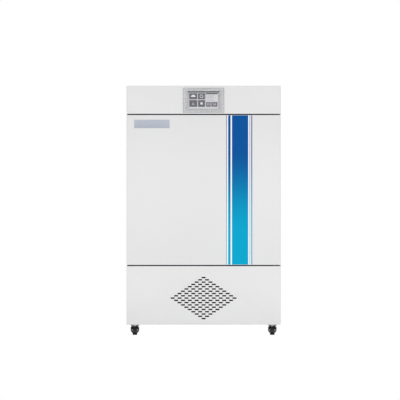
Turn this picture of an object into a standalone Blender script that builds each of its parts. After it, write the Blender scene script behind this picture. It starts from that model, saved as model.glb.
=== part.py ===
"""A floor-standing carbon dioxide incubator, built from its separate pieces.

The frame has +Z up, the front faces -Y, and the origin is on the floor under the middle of the object.
Every size is in metres.
"""

import math

import bmesh
import bpy
from mathutils import Matrix, Vector

# Sheet metal and the clearances between pieces
SHEET = 0.0012
BASE_SHEET = 0.0020
SEAT = 0.0003
POCKET_CLEARANCE = 0.001

# Outside of the cabinet
CABINET_WIDTH = 0.760
CASTER_HEIGHT = 0.051
LOWER_PANEL_HEIGHT = 0.290
DOOR_HEIGHT = 0.740
FASCIA_HEIGHT = 0.140
PANEL_GAP = 0.0045
CASE_DEPTH = 0.600
DOOR_THICKNESS = 0.055
GASKET_THICKNESS = 0.010
BEZEL_PROUD = 0.008
SPACER_DEPTH = 0.015
FRONT_EDGE_RADIUS = 0.005
TOP_EDGE_RADIUS = 0.003

# Chamber and its glass door
CHAMBER_WIDTH = 0.500
CHAMBER_END_MARGIN = 0.045
CHAMBER_HEIGHT = DOOR_HEIGHT - 2 * CHAMBER_END_MARGIN
DEPTH_ROUND_CHAMBER = 0.100
CHAMBER_DEPTH = CASE_DEPTH - DEPTH_ROUND_CHAMBER
CHAMBER_RADIUS = 0.020
LINER_FLANGE = 0.020
RECESS_DEPTH = 0.036
RECESS_SIDE = 0.035
RECESS_END = 0.022
LIP_BEHIND_FLANGE = 0.008
SURROUND_OVERLAP = 0.005
INNER_SEAL_THICKNESS = 0.005
INNER_SEAL_WIDTH = 0.010
INNER_SEAL_SET_BACK = 0.002
GLASS_THICKNESS = 0.005
GLASS_OVERLAP = 0.014
TOP_INSULATION = 0.055

HALF_WIDTH = CABINET_WIDTH / 2
INSIDE_HALF_WIDTH = HALF_WIDTH - SHEET - SEAT
TOTAL_DEPTH = BEZEL_PROUD + DOOR_THICKNESS + GASKET_THICKNESS + 2 * SEAT + CASE_DEPTH + SPACER_DEPTH
FRONT_Y = -TOTAL_DEPTH / 2 + BEZEL_PROUD
DOOR_BACK_Y = FRONT_Y + DOOR_THICKNESS
CASE_FRONT_Y = DOOR_BACK_Y + GASKET_THICKNESS + 2 * SEAT
CASE_BACK_Y = CASE_FRONT_Y + CASE_DEPTH
INSIDE_BACK_Y = CASE_BACK_Y - SHEET - SEAT

BASE_Z = CASTER_HEIGHT
FLOOR_PAN_Z = BASE_Z + BASE_SHEET
LOWER_TOP_Z = BASE_Z + LOWER_PANEL_HEIGHT
DOOR_LOW_Z = LOWER_TOP_Z + PANEL_GAP
DOOR_HIGH_Z = DOOR_LOW_Z + DOOR_HEIGHT
FASCIA_LOW_Z = DOOR_HIGH_Z + PANEL_GAP
TOP_Z = FASCIA_LOW_Z + FASCIA_HEIGHT
MIDDLE_Z = DOOR_LOW_Z + DOOR_HEIGHT / 2
CHAMBER_LOW_Z = MIDDLE_Z - CHAMBER_HEIGHT / 2
CHAMBER_HIGH_Z = MIDDLE_Z + CHAMBER_HEIGHT / 2
DECK_Z = LOWER_TOP_Z - SURROUND_OVERLAP - SEAT
TRAY_Z = CHAMBER_HIGH_Z + SHEET + TOP_INSULATION

RECESS_HALF_WIDTH = CHAMBER_WIDTH / 2 + RECESS_SIDE
RECESS_HALF_HEIGHT = CHAMBER_HEIGHT / 2 + RECESS_END
LINER_FRONT_Y = CASE_FRONT_Y + RECESS_DEPTH - SEAT - SHEET
CHAMBER_BACK_Y = LINER_FRONT_Y + CHAMBER_DEPTH
GLASS_BACK_Y = LINER_FRONT_Y - INNER_SEAL_THICKNESS - 2 * SEAT
GLASS_FRONT_Y = GLASS_BACK_Y - GLASS_THICKNESS
GLASS_HALF_WIDTH = CHAMBER_WIDTH / 2 + GLASS_OVERLAP
GLASS_HALF_HEIGHT = CHAMBER_HEIGHT / 2 + GLASS_OVERLAP

# The way a flat outline or a turned piece faces: its own Z axis points there
UP = (0, 0, 0)
DOWN = (math.pi, 0, 0)
FRONT = (math.pi / 2, 0, 0)
BACK = (-math.pi / 2, 0, 0)
RIGHT = (math.pi / 2, 0, math.pi / 2)

# The sides of a block, by the direction that each faces
AXES = {
    "-X": (-1, 0, 0),
    "+X": (1, 0, 0),
    "-Y": (0, -1, 0),
    "+Y": (0, 1, 0),
    "-Z": (0, 0, -1),
    "+Z": (0, 0, 1),
}


def clear_scene():
    """Removes what a new Blender file holds."""
    for thing in list(bpy.data.objects):
        bpy.data.objects.remove(thing, do_unlink=True)


def new_collection(name):
    """A collection in the scene."""
    made = bpy.data.collections.new(name)
    bpy.context.scene.collection.children.link(made)
    return made


def new_material(name, colour, roughness, metallic=0.0):
    """A Principled material of one colour."""
    made = bpy.data.materials.new(name)
    made.use_nodes = True
    shader = made.node_tree.nodes["Principled BSDF"]
    shader.inputs["Base Color"].default_value = (*colour, 1.0)
    shader.inputs["Roughness"].default_value = roughness
    shader.inputs["Metallic"].default_value = metallic
    made.diffuse_color = (*colour, 1.0)
    return made


clear_scene()
PIECES = new_collection("carbon_dioxide_incubator")
CUTTERS = new_collection("cutters")

WHITE_PAINT = new_material("white_paint", (0.80, 0.80, 0.80), 0.45)
GREY_PAINT = new_material("grey_paint", (0.30, 0.31, 0.32), 0.5)
STAINLESS = new_material("stainless_steel", (0.62, 0.62, 0.61), 0.3, 1.0)
ZINC = new_material("zinc_plate", (0.35, 0.35, 0.36), 0.4, 1.0)
BRASS = new_material("brass", (0.70, 0.52, 0.22), 0.35, 1.0)
ALUMINIUM = new_material("aluminium", (0.60, 0.61, 0.62), 0.4, 1.0)
SILVER_PLASTIC = new_material("silver_plastic", (0.50, 0.50, 0.50), 0.4)
BADGE_METAL = new_material("badge_metal", (0.55, 0.60, 0.68), 0.35, 0.6)
BLACK_PLASTIC = new_material("black_plastic", (0.02, 0.02, 0.02), 0.5)
WHITE_PLASTIC = new_material("white_plastic", (0.75, 0.75, 0.73), 0.5)
RUBBER = new_material("black_rubber", (0.015, 0.015, 0.015), 0.8)
GREY_SEAL = new_material("grey_seal", (0.35, 0.35, 0.35), 0.7)
SILICONE = new_material("silicone", (0.78, 0.78, 0.76), 0.6)
GLASS = new_material("glass", (0.75, 0.85, 0.83), 0.05)
SCREEN = new_material("screen", (0.05, 0.05, 0.06), 0.2)
FOAM = new_material("insulation", (0.80, 0.72, 0.50), 0.9)
BLACK_ENAMEL = new_material("black_enamel", (0.02, 0.02, 0.022), 0.35)


def finish(thing, material, helper):
    """Links an object as a piece or as a cutter."""
    if helper:
        CUTTERS.objects.link(thing)
        thing.hide_render = True
        thing.display_type = "WIRE"
    else:
        PIECES.objects.link(thing)
        thing.data.materials.append(material)
    return thing


def object_from(bm, name, place, facing, material, helper):
    """An object from an edited mesh."""
    mesh = bpy.data.meshes.new(name)
    bm.to_mesh(mesh)
    bm.free()
    thing = bpy.data.objects.new(name, mesh)
    thing.location = place
    thing.rotation_euler = facing
    return finish(thing, material, helper)


def edges_between(bm, first, second):
    """The edges where a face whose normal is first meets one whose normal is second."""
    wanted = [Vector(AXES[first]), Vector(AXES[second])]
    found = []
    for edge in bm.edges:
        normals = [face.normal for face in edge.link_faces]
        if len(normals) == 2 and all(any(n.dot(w) > 0.99 for n in normals) for w in wanted):
            found.append(edge)
    return found


def box(name, low, high, material=None, rounded=(), segments=2, helper=False, open_sides=(), wall=0.0):
    """A block between two corners, or a folded sheet box where some sides are open.

    rounded lists (side, side, radius) for the edges that are rounded, in order.
    """
    low, high = Vector(low), Vector(high)
    size = high - low
    bm = bmesh.new()
    bmesh.ops.create_cube(bm, size=1.0, matrix=Matrix.Diagonal((*size, 1.0)))
    gone = [f for f in bm.faces if any(f.normal.dot(Vector(AXES[side])) > 0.99 for side in open_sides)]
    bmesh.ops.delete(bm, geom=gone, context="FACES")
    for first, second, radius in rounded:
        edges = edges_between(bm, first, second)
        bmesh.ops.bevel(bm, geom=edges, offset=radius, segments=segments, profile=0.5, affect="EDGES")
    thing = object_from(bm, name, (low + high) / 2, UP, material, helper)
    if open_sides:
        add_wall(thing, wall)
    return thing


def add_wall(thing, thickness):
    """Gives an open surface its sheet thickness, on the side that its normals point away from."""
    solid = thing.modifiers.new("wall", "SOLIDIFY")
    solid.thickness = thickness
    solid.offset = -1
    solid.use_even_offset = True
    return solid


def turned(name, profile, place, facing=UP, sides=24, material=None, helper=False, flat_down=False):
    """A turned piece about its own Z axis, its profile (radius, height) running down the outer side.

    flat_down turns the facets by half a step, so that the middle of one lies lowest.
    """
    mesh = bpy.data.meshes.new(name)
    grow = 1 / math.cos(math.pi / sides) if flat_down else 1.0
    turn = math.pi / sides if flat_down else 0.0
    ring = all(radius > 0 for radius, _ in profile)
    points = [
        (radius * grow * math.cos(turn), radius * grow * math.sin(turn), height)
        for radius, height in profile
    ]
    edges = [(i, i + 1) for i in range(len(points) - 1)]
    if ring:
        edges.append((len(points) - 1, 0))
    mesh.from_pydata(points, edges, [])
    thing = bpy.data.objects.new(name, mesh)
    thing.location = place
    thing.rotation_euler = facing
    screw = thing.modifiers.new("turn", "SCREW")
    screw.axis = "Z"
    screw.angle = 2 * math.pi
    screw.steps = screw.render_steps = sides
    screw.use_merge_vertices = True
    screw.merge_threshold = 0.00001
    screw.use_smooth_shade = False
    return finish(thing, material, helper)


def rod(name, radius, length, place, facing=UP, sides=12, material=None, helper=False):
    """A round bar that starts at place and runs the way it faces."""
    profile = [(0, length), (radius, length), (radius, 0), (0, 0)]
    return turned(name, profile, place, facing, sides, material, helper)


def outline(name, points, thickness, place, facing, material=None, helper=False):
    """A flat plate from its outline, centred on place across its thickness, as a mesh."""
    curve = bpy.data.curves.new(name, "CURVE")
    curve.dimensions = "2D"
    curve.fill_mode = "BOTH"
    curve.extrude = thickness / 2
    spline = curve.splines.new("POLY")
    spline.points.add(len(points) - 1)
    for point, (x, y) in zip(spline.points, points):
        point.co = (x, y, 0, 1)
    spline.use_cyclic_u = True
    guide = bpy.data.objects.new(name + "_outline", curve)
    PIECES.objects.link(guide)
    bpy.context.view_layer.update()
    graph = bpy.context.evaluated_depsgraph_get()
    mesh = bpy.data.meshes.new_from_object(guide.evaluated_get(graph))
    bpy.data.objects.remove(guide, do_unlink=True)
    mesh.materials.clear()
    bm = bmesh.new()
    bm.from_mesh(mesh)
    bpy.data.meshes.remove(mesh)
    bmesh.ops.remove_doubles(bm, verts=bm.verts, dist=0.00001)
    return object_from(bm, name, place, facing, material, helper)


def tube(name, route, radius, material):
    """A round tube along a smooth curve through the route's points."""
    curve = bpy.data.curves.new(name, "CURVE")
    curve.dimensions = "3D"
    curve.bevel_depth = radius
    curve.bevel_resolution = 1
    curve.use_fill_caps = True
    spline = curve.splines.new("POLY")
    points = smooth_route(route)
    spline.points.add(len(points) - 1)
    for point, where in zip(spline.points, points):
        point.co = (*(where - points[0]), 1)
    thing = bpy.data.objects.new(name, curve)
    thing.location = points[0]
    return finish(thing, material, False)


def smooth_route(route, steps=3):
    """Points along a Catmull-Rom curve through the route."""
    ends = [2 * route[0] - route[1], *route, 2 * route[-1] - route[-2]]
    points = []
    for a, b, c, d in zip(ends, ends[1:], ends[2:], ends[3:]):
        for step in range(steps):
            t = step / steps
            squared = (2 * a - 5 * b + 4 * c - d) * t**2
            cubed = (3 * b - a - 3 * c + d) * t**3
            points.append(0.5 * (2 * b + (c - a) * t + squared + cubed))
    points.append(route[-1])
    return points


def boolean(target, operation, tools):
    """Adds one Boolean for each tool."""
    for tool in tools:
        step = target.modifiers.new(tool.name, "BOOLEAN")
        step.operation = operation
        step.solver = "EXACT"
        step.object = tool
    return target


def cut(target, *tools):
    """Cuts the tools out of the target."""
    return boolean(target, "DIFFERENCE", tools)


def join(target, *tools):
    """Welds the tools to the target as one body."""
    return boolean(target, "UNION", tools)


def slots(name, centres, length, height, depth, facing=FRONT):
    """One cutter with a round-ended slot at each centre, long along its own X axis."""
    bm = bmesh.new()
    corner_radius = height / 2 / math.cos(math.pi / 8)
    turn = Matrix.Rotation(math.pi / 8, 4, "Z")
    for x, y in centres:
        made = bmesh.ops.create_cone(
            bm,
            cap_ends=True,
            segments=8,
            radius1=corner_radius,
            radius2=corner_radius,
            depth=depth,
            matrix=Matrix.Translation((x, y, 0)) @ turn,
        )
        for vert in made["verts"]:
            vert.co.x += math.copysign((length - height) / 2, vert.co.x - x)
    return bm_cutter(bm, name, facing)


def windows(name, centres, width, height, depth, facing=FRONT):
    """One cutter with a square-ended opening at each centre."""
    bm = bmesh.new()
    for x, y in centres:
        size = Matrix.Diagonal((width, height, depth, 1.0))
        bmesh.ops.create_cube(bm, size=1.0, matrix=Matrix.Translation((x, y, 0)) @ size)
    return bm_cutter(bm, name, facing)


def bm_cutter(bm, name, facing):
    """A cutter from an edited mesh, still at the origin."""
    return object_from(bm, name, (0, 0, 0), facing, None, True)


def stepped(name, loops, place, facing, material, wall, corner=0.0, open_end=True, segments=3):
    """A pressed or folded frame: a plate whose face is stepped in and pushed back, loop by loop.

    Each loop is (half width, half height, depth) in the plate's own frame, depth counted along
    its own -Z. With open_end the last face is left out. The wall lies behind the seen side.
    """
    bm = bmesh.new()
    half_x, half_y, depth = loops[0]
    bmesh.ops.create_grid(bm, x_segments=1, y_segments=1, size=1.0)
    bmesh.ops.scale(bm, verts=bm.verts, vec=(half_x, half_y, 1))
    bmesh.ops.translate(bm, verts=bm.verts, vec=(0, 0, -depth))
    if corner:
        bmesh.ops.bevel(
            bm, geom=bm.verts[:], offset=corner, segments=segments, profile=0.5, affect="VERTICES"
        )
    face = next(iter(bm.faces))
    for next_x, next_y, next_depth in loops[1:]:
        face = bmesh.ops.extrude_discrete_faces(bm, faces=[face])["faces"][0]
        for vert in face.verts:
            vert.co.x += (next_x - half_x) * math.copysign(1, vert.co.x)
            vert.co.y += (next_y - half_y) * math.copysign(1, vert.co.y)
            vert.co.z -= next_depth - depth
        half_x, half_y, depth = next_x, next_y, next_depth
    if open_end:
        bmesh.ops.delete(bm, geom=[face], context="FACES")
    thing = object_from(bm, name, place, facing, material, False)
    solid = add_wall(thing, wall)
    solid.solidify_mode = "NON_MANIFOLD"
    solid.nonmanifold_thickness_mode = "CONSTRAINTS"
    solid.nonmanifold_boundary_mode = "FLAT"
    return thing


def ring(name, half_width, half_height, band, thickness, place, material, corner=0.0):
    """A flat rectangular ring that faces the front, its front side at place."""
    bm = bmesh.new()
    bmesh.ops.create_grid(bm, x_segments=1, y_segments=1, size=1.0)
    bmesh.ops.scale(bm, verts=bm.verts, vec=(half_width, half_height, 1))
    if corner:
        bmesh.ops.bevel(bm, geom=bm.verts[:], offset=corner, segments=3, profile=0.5, affect="VERTICES")
    face = next(iter(bm.faces))
    bmesh.ops.inset_region(bm, faces=[face], thickness=band, use_even_offset=True, use_boundary=True)
    bmesh.ops.delete(bm, geom=[face], context="FACES")
    thing = object_from(bm, name, place, FRONT, material, False)
    add_wall(thing, thickness)
    return thing


def joint(name, place):
    """An empty on a joint's axis."""
    empty = bpy.data.objects.new(name, None)
    empty.location = place
    empty.empty_display_size = 0.03
    PIECES.objects.link(empty)
    bpy.context.view_layer.update()
    return empty


def hang(parent, *things):
    """Parents things to a joint's empty and leaves them where they are."""
    for thing in things:
        thing.parent = parent
        thing.matrix_parent_inverse = parent.matrix_world.inverted()


# Front grille: slots in staggered rows that make a diamond
GRILLE_MIDDLE_ROW = 10
GRILLE_PITCH_X = 0.0339
GRILLE_PITCH_Z = 0.01124
GRILLE_SLOT_LENGTH = 0.0190
GRILLE_SLOT_HEIGHT = 0.0055
GRILLE_BELOW_MIDDLE = 0.014


def grille_centres():
    """Slot centres of the diamond, row by row, from the longest row out to single slots."""
    centres = []
    for row in range(1 - GRILLE_MIDDLE_ROW, GRILLE_MIDDLE_ROW):
        count = GRILLE_MIDDLE_ROW - abs(row)
        for place in range(count):
            centres.append(((place - (count - 1) / 2) * GRILLE_PITCH_X, row * GRILLE_PITCH_Z))
    return centres


def build_lower_front_panel():
    """The folded panel below the door, with the diamond of air slots."""
    panel = box(
        "lower_front_panel",
        (-HALF_WIDTH, FRONT_Y, BASE_Z),
        (HALF_WIDTH, CASE_FRONT_Y - SEAT, LOWER_TOP_Z),
        WHITE_PAINT,
        rounded=[("-X", "-Y", FRONT_EDGE_RADIUS), ("+X", "-Y", FRONT_EDGE_RADIUS)],
        open_sides=("+Y", "-Z"),
        wall=SHEET,
    )
    diamond = slots("grille_slots", grille_centres(), GRILLE_SLOT_LENGTH, GRILLE_SLOT_HEIGHT, 8 * SHEET)
    diamond.location = (0, FRONT_Y, BASE_Z + LOWER_PANEL_HEIGHT / 2 - GRILLE_BELOW_MIDDLE)
    cut(panel, diamond)


# Touch screen in the fascia
BEZEL_WIDTH = 0.200
BEZEL_HEIGHT = 0.1216
BEZEL_BELOW_MIDDLE = 0.0023
BEZEL_BODY_INSET = 0.007
BEZEL_BODY_DEPTH = 0.022
BEZEL_EDGE = 0.003
BEZEL_LIP = 0.004
SCREEN_WIDTH = 0.154
SCREEN_HEIGHT = 0.086
SCREEN_BORDER = 0.002
SCREEN_THICKNESS = 0.012
BEZEL_Z = FASCIA_LOW_Z + FASCIA_HEIGHT / 2 - BEZEL_BELOW_MIDDLE


def centred(half_x, front, back, half_z, middle_z):
    """Low and high corners of a block centred on x = 0."""
    return (-half_x, front, middle_z - half_z), (half_x, back, middle_z + half_z)


def build_fascia():
    """The folded panel above the door, cut for the bezel's body."""
    fascia = box(
        "control_fascia",
        (-HALF_WIDTH, FRONT_Y, FASCIA_LOW_Z),
        (HALF_WIDTH, CASE_FRONT_Y - SEAT, TOP_Z),
        WHITE_PAINT,
        rounded=[
            ("-X", "-Y", FRONT_EDGE_RADIUS),
            ("+X", "-Y", FRONT_EDGE_RADIUS),
            ("+Z", "-Y", TOP_EDGE_RADIUS),
        ],
        open_sides=("+Y",),
        wall=SHEET,
    )
    half_x = BEZEL_WIDTH / 2 - BEZEL_BODY_INSET + SEAT
    half_z = BEZEL_HEIGHT / 2 - BEZEL_BODY_INSET + SEAT
    hole = box(
        "bezel_hole", *centred(half_x, FRONT_Y - SHEET, FRONT_Y + 3 * SHEET, half_z, BEZEL_Z), helper=True
    )
    cut(fascia, hole)


def build_display():
    """The bezel, proud of the fascia, and the screen module in its pocket."""
    bezel = box(
        "display_bezel",
        *centred(BEZEL_WIDTH / 2, FRONT_Y - BEZEL_PROUD, FRONT_Y - SEAT, BEZEL_HEIGHT / 2, BEZEL_Z),
        SILVER_PLASTIC,
        rounded=[(side, "-Y", BEZEL_EDGE) for side in ("-X", "+X", "-Z", "+Z")],
    )
    body = box(
        "bezel_body",
        *centred(
            BEZEL_WIDTH / 2 - BEZEL_BODY_INSET,
            FRONT_Y - BEZEL_PROUD / 2,
            FRONT_Y + BEZEL_BODY_DEPTH,
            BEZEL_HEIGHT / 2 - BEZEL_BODY_INSET,
            BEZEL_Z,
        ),
        helper=True,
    )
    lip_back = FRONT_Y - BEZEL_PROUD + BEZEL_LIP
    window = box(
        "bezel_window",
        *centred(SCREEN_WIDTH / 2, FRONT_Y - 2 * BEZEL_PROUD, FRONT_Y, SCREEN_HEIGHT / 2, BEZEL_Z),
        helper=True,
    )
    half_x = SCREEN_WIDTH / 2 + SCREEN_BORDER
    half_z = SCREEN_HEIGHT / 2 + SCREEN_BORDER
    pocket = box(
        "bezel_pocket",
        *centred(half_x + SEAT, lip_back, FRONT_Y + 2 * BEZEL_BODY_DEPTH, half_z + SEAT, BEZEL_Z),
        helper=True,
    )
    join(bezel, body)
    cut(bezel, pocket, window)
    front = lip_back + SEAT
    box("display_screen", *centred(half_x, front, front + SCREEN_THICKNESS, half_z, BEZEL_Z), SCREEN)


# Case
SPACER_SIZE = 0.040
SPACER_INSET = 0.030
REAR_VENT_COLUMNS = 2
REAR_VENT_ROWS = 7
REAR_VENT_LENGTH = 0.120
REAR_VENT_HEIGHT = 0.008
REAR_VENT_PITCH_X = 0.145
REAR_VENT_PITCH_Z = 0.022
REAR_VENT_X = -0.120
REAR_VENT_Z = 0.190
BASE_FLANGE = 0.025
DECK_FLANGE = 0.020
TRAY_FLANGE = 0.015


def build_outer_case():
    """Both sides and the top, folded from one sheet."""
    box(
        "outer_case",
        (-HALF_WIDTH, CASE_FRONT_Y, BASE_Z),
        (HALF_WIDTH, CASE_BACK_Y, TOP_Z),
        WHITE_PAINT,
        rounded=[("-X", "+Z", TOP_EDGE_RADIUS), ("+X", "+Z", TOP_EDGE_RADIUS)],
        open_sides=("-Y", "+Y", "-Z"),
        wall=SHEET,
    )


def grid_centres(columns, rows, pitch_x, pitch_y):
    """Centres of a regular grid about the origin."""
    return [
        ((column - (columns - 1) / 2) * pitch_x, (row - (rows - 1) / 2) * pitch_y)
        for column in range(columns)
        for row in range(rows)
    ]


def build_rear_panel():
    """The back, with wall spacers, air slots and holes for the services."""
    low_z, high_z = BASE_Z, TOP_Z - SHEET - SEAT
    panel = box(
        "rear_panel",
        (-INSIDE_HALF_WIDTH, CASE_BACK_Y - SHEET, low_z),
        (INSIDE_HALF_WIDTH, CASE_BACK_Y, high_z),
        WHITE_PAINT,
        rounded=[("-X", "+Z", TOP_EDGE_RADIUS), ("+X", "+Z", TOP_EDGE_RADIUS)],
        segments=1,
    )
    for side in (-1, 1):
        for end, middle_z in (
            ("low", low_z + SPACER_INSET + SPACER_SIZE / 2),
            ("high", high_z - SPACER_INSET - SPACER_SIZE / 2),
        ):
            x = side * (INSIDE_HALF_WIDTH - SPACER_INSET - SPACER_SIZE / 2)
            half = SPACER_SIZE / 2
            spacer = box(
                f"spacer_{end}_{side}",
                (x - half, CASE_BACK_Y - SHEET / 2, middle_z - half),
                (x + half, CASE_BACK_Y + SPACER_DEPTH, middle_z + half),
                rounded=[(edge, "+Y", SPACER_DEPTH / 3) for edge in ("-X", "+X", "-Z", "+Z")],
                segments=1,
                helper=True,
            )
            join(panel, spacer)
    centres = grid_centres(REAR_VENT_COLUMNS, REAR_VENT_ROWS, REAR_VENT_PITCH_X, REAR_VENT_PITCH_Z)
    vents = windows("rear_vents", centres, REAR_VENT_LENGTH, REAR_VENT_HEIGHT, 8 * SHEET)
    vents.location = (REAR_VENT_X, CASE_BACK_Y, REAR_VENT_Z)
    behind = CASE_BACK_Y + 3 * SHEET
    port_radius, valve_radius = PORT_OUTER_RADIUS + SEAT, VALVE_NECK_RADIUS + SEAT
    port = rod("port_hole", port_radius, 6 * SHEET, (PORT_X, behind, PORT_Z), FRONT, 20, helper=True)
    valve = rod("valve_hole", valve_radius, 6 * SHEET, (VALVE_X, behind, VALVE_Z), FRONT, 12, helper=True)
    half_x, half_z = INLET_BODY_WIDTH / 2 + SEAT, INLET_BODY_HEIGHT / 2 + SEAT
    inlet = box(
        "inlet_hole",
        (INLET_X - half_x, CASE_BACK_Y - 3 * SHEET, INLET_Z - half_z),
        (INLET_X + half_x, behind, INLET_Z + half_z),
        helper=True,
    )
    cut(panel, vents, port, valve, inlet)


def build_base_frame():
    """The floor pan that carries everything and that the casters bolt under."""
    box(
        "base_frame",
        (-INSIDE_HALF_WIDTH, FRONT_Y + FRONT_EDGE_RADIUS, BASE_Z),
        (INSIDE_HALF_WIDTH, INSIDE_BACK_Y, BASE_Z + BASE_FLANGE),
        GREY_PAINT,
        open_sides=("+Z",),
        wall=BASE_SHEET,
    )


def build_machine_deck():
    """The deck between the machine bay and the chamber's insulation."""
    box(
        "machine_deck",
        (-INSIDE_HALF_WIDTH, CASE_FRONT_Y, DECK_Z - DECK_FLANGE),
        (INSIDE_HALF_WIDTH, INSIDE_BACK_Y, DECK_Z),
        GREY_PAINT,
        open_sides=("-Z",),
        wall=SHEET,
    )


def build_electrical_tray():
    """The tray above the insulation that carries the electrics and the fan motor."""
    tray = box(
        "electrical_tray",
        (-INSIDE_HALF_WIDTH, CASE_FRONT_Y, TRAY_Z),
        (INSIDE_HALF_WIDTH, INSIDE_BACK_Y, TRAY_Z + TRAY_FLANGE),
        GREY_PAINT,
        open_sides=("+Z",),
        wall=SHEET,
    )
    below = TRAY_Z - 3 * SHEET
    shaft = rod("tray_shaft_hole", SHAFT_HOLE_RADIUS, 6 * SHEET, (0, FAN_Y, below), helper=True)
    gas = rod("tray_gas_hole", GAS_HOLE_RADIUS, 6 * SHEET, (VALVE_X, GAS_Y, below), helper=True)
    cut(tray, shaft, gas)


def build_door_surround():
    """The stepped frame that the gasket meets, with the brackets that the glass door turns in."""
    low = LOWER_TOP_Z - SURROUND_OVERLAP
    high = FASCIA_LOW_Z + SURROUND_OVERLAP
    lip_width = CHAMBER_WIDTH / 2 + LINER_FLANGE - LIP_BEHIND_FLANGE
    lip_height = CHAMBER_HEIGHT / 2 + LINER_FLANGE - LIP_BEHIND_FLANGE
    surround = stepped(
        "door_surround",
        [
            (INSIDE_HALF_WIDTH, (high - low) / 2, 0),
            (RECESS_HALF_WIDTH, RECESS_HALF_HEIGHT, 0),
            (RECESS_HALF_WIDTH, RECESS_HALF_HEIGHT, RECESS_DEPTH),
            (lip_width, lip_height, RECESS_DEPTH),
        ],
        (0, CASE_FRONT_Y, (low + high) / 2),
        FRONT,
        WHITE_PAINT,
        SHEET,
    )
    join(surround, *glass_brackets())


def glass_brackets():
    """The two angles on the recess wall that the glass door's pins turn in."""
    wall_x = RECESS_HALF_WIDTH + SHEET / 2
    inner_x = GLASS_PIVOT_X - STILE_RADIUS
    brackets = []
    for end, out in (("top", 1), ("bottom", -1)):
        near = MIDDLE_Z + out * (STILE_HALF_HEIGHT + SEAT)
        far = near + out * GLASS_BRACKET
        flange_end = near + out * GLASS_BRACKET_FLANGE
        flange_x = RECESS_HALF_WIDTH - STILE_PLATE
        points = [
            (inner_x, near),
            (wall_x, near),
            (wall_x, flange_end),
            (flange_x, flange_end),
            (flange_x, far),
            (inner_x, far),
        ]
        place = (0, GLASS_PIVOT_Y, 0)
        bracket = outline("glass_bracket_" + end, points, 2 * STILE_RADIUS, place, FRONT, helper=True)
        hole_start = (GLASS_PIVOT_X, GLASS_PIVOT_Y, min(near, far) - GLASS_BRACKET)
        radius = GLASS_PIN_RADIUS + SEAT
        cut(bracket, rod("glass_pin_hole_" + end, radius, 3 * GLASS_BRACKET, hole_start, helper=True))
        brackets.append(bracket)
    return brackets


def build_insulation():
    """The foam body round the chamber, with passages for the shaft, the gas and the port."""
    gap = POCKET_CLEARANCE
    foam = box(
        "insulation",
        (-INSIDE_HALF_WIDTH, CASE_FRONT_Y + SHEET + SEAT, DECK_Z + SEAT),
        (INSIDE_HALF_WIDTH, INSIDE_BACK_Y, TRAY_Z - SEAT),
        FOAM,
    )
    recess = box(
        "recess_pocket",
        *centred(
            RECESS_HALF_WIDTH + SHEET + gap,
            FRONT_Y,
            CASE_FRONT_Y + RECESS_DEPTH + SHEET + gap,
            RECESS_HALF_HEIGHT + SHEET + gap,
            MIDDLE_Z,
        ),
        helper=True,
    )
    chamber = box(
        "chamber_pocket",
        *centred(
            CHAMBER_WIDTH / 2 + SHEET + SEAT,
            FRONT_Y,
            CHAMBER_BACK_Y + SHEET + SEAT,
            CHAMBER_HEIGHT / 2 + SHEET + SEAT,
            MIDDLE_Z,
        ),
        helper=True,
    )
    rise = TOP_Z - MIDDLE_Z
    shaft = rod("foam_shaft_hole", SHAFT_HOLE_RADIUS, rise, (0, FAN_Y, MIDDLE_Z), helper=True)
    gas = rod("foam_gas_hole", GAS_HOLE_RADIUS, rise, (VALVE_X, GAS_Y, MIDDLE_Z), helper=True)
    port_start = (PORT_X, CASE_BACK_Y, PORT_Z)
    reach = CASE_BACK_Y - FAN_Y
    port = rod("foam_port_hole", PORT_OUTER_RADIUS + gap, reach, port_start, FRONT, 20, helper=True)
    cut(foam, recess, chamber, shaft, gas, port)


# Chamber liner and the port through its back
PORT_OUTER_RADIUS = 0.026
PORT_WALL = 0.002
PORT_X = 0.150
PORT_ABOVE_MIDDLE = 0.200
PORT_Z = MIDDLE_Z + PORT_ABOVE_MIDDLE
PORT_PROUD = 0.002
PLUG_LENGTH = 0.040
PLUG_HEAD_RADIUS = 0.029
PLUG_HEAD = 0.007
PLUG_TAPER = 0.002


def build_chamber_liner():
    """The stainless wrapper of the chamber, with rounded corners and its front flange."""
    depth = CHAMBER_DEPTH - SEAT
    bm = bmesh.new()
    size = Matrix.Diagonal((CHAMBER_WIDTH, depth, CHAMBER_HEIGHT, 1.0))
    bmesh.ops.create_cube(bm, size=1.0, matrix=size)
    ends = [f for f in bm.faces if abs(f.normal.y) > 0.99]
    bmesh.ops.delete(bm, geom=ends, context="FACES")
    corners = [e for e in bm.edges if len(e.link_faces) == 2]
    bmesh.ops.bevel(bm, geom=corners, offset=CHAMBER_RADIUS, segments=3, profile=0.5, affect="EDGES")
    rim = [e for e in bm.edges if e.is_boundary and all(v.co.y < 0 for v in e.verts)]
    made = bmesh.ops.extrude_edge_only(bm, edges=rim)["geom"]
    core = Vector((CHAMBER_WIDTH / 2 - CHAMBER_RADIUS, 0, CHAMBER_HEIGHT / 2 - CHAMBER_RADIUS))
    for vert in (v for v in made if isinstance(v, bmesh.types.BMVert)):
        x = max(-core.x, min(core.x, vert.co.x))
        z = max(-core.z, min(core.z, vert.co.z))
        vert.co += (vert.co - Vector((x, vert.co.y, z))).normalized() * LINER_FLANGE
    bmesh.ops.reverse_faces(bm, faces=bm.faces)
    middle = (0, LINER_FRONT_Y + depth / 2, MIDDLE_Z)
    liner = object_from(bm, "chamber_liner", middle, UP, STAINLESS, False)
    add_wall(liner, SHEET)
    hole_z = CHAMBER_HIGH_Z - TOP_INSULATION / 2
    shaft_start, gas_start = (0, FAN_Y, hole_z), (VALVE_X, GAS_Y, hole_z)
    shaft = rod("liner_shaft_hole", SHAFT_RADIUS * 2, TOP_INSULATION, shaft_start, helper=True)
    gas = rod("liner_gas_hole", GAS_TUBE_RADIUS + SEAT, TOP_INSULATION, gas_start, helper=True)
    cut(liner, shaft, gas)


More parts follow.
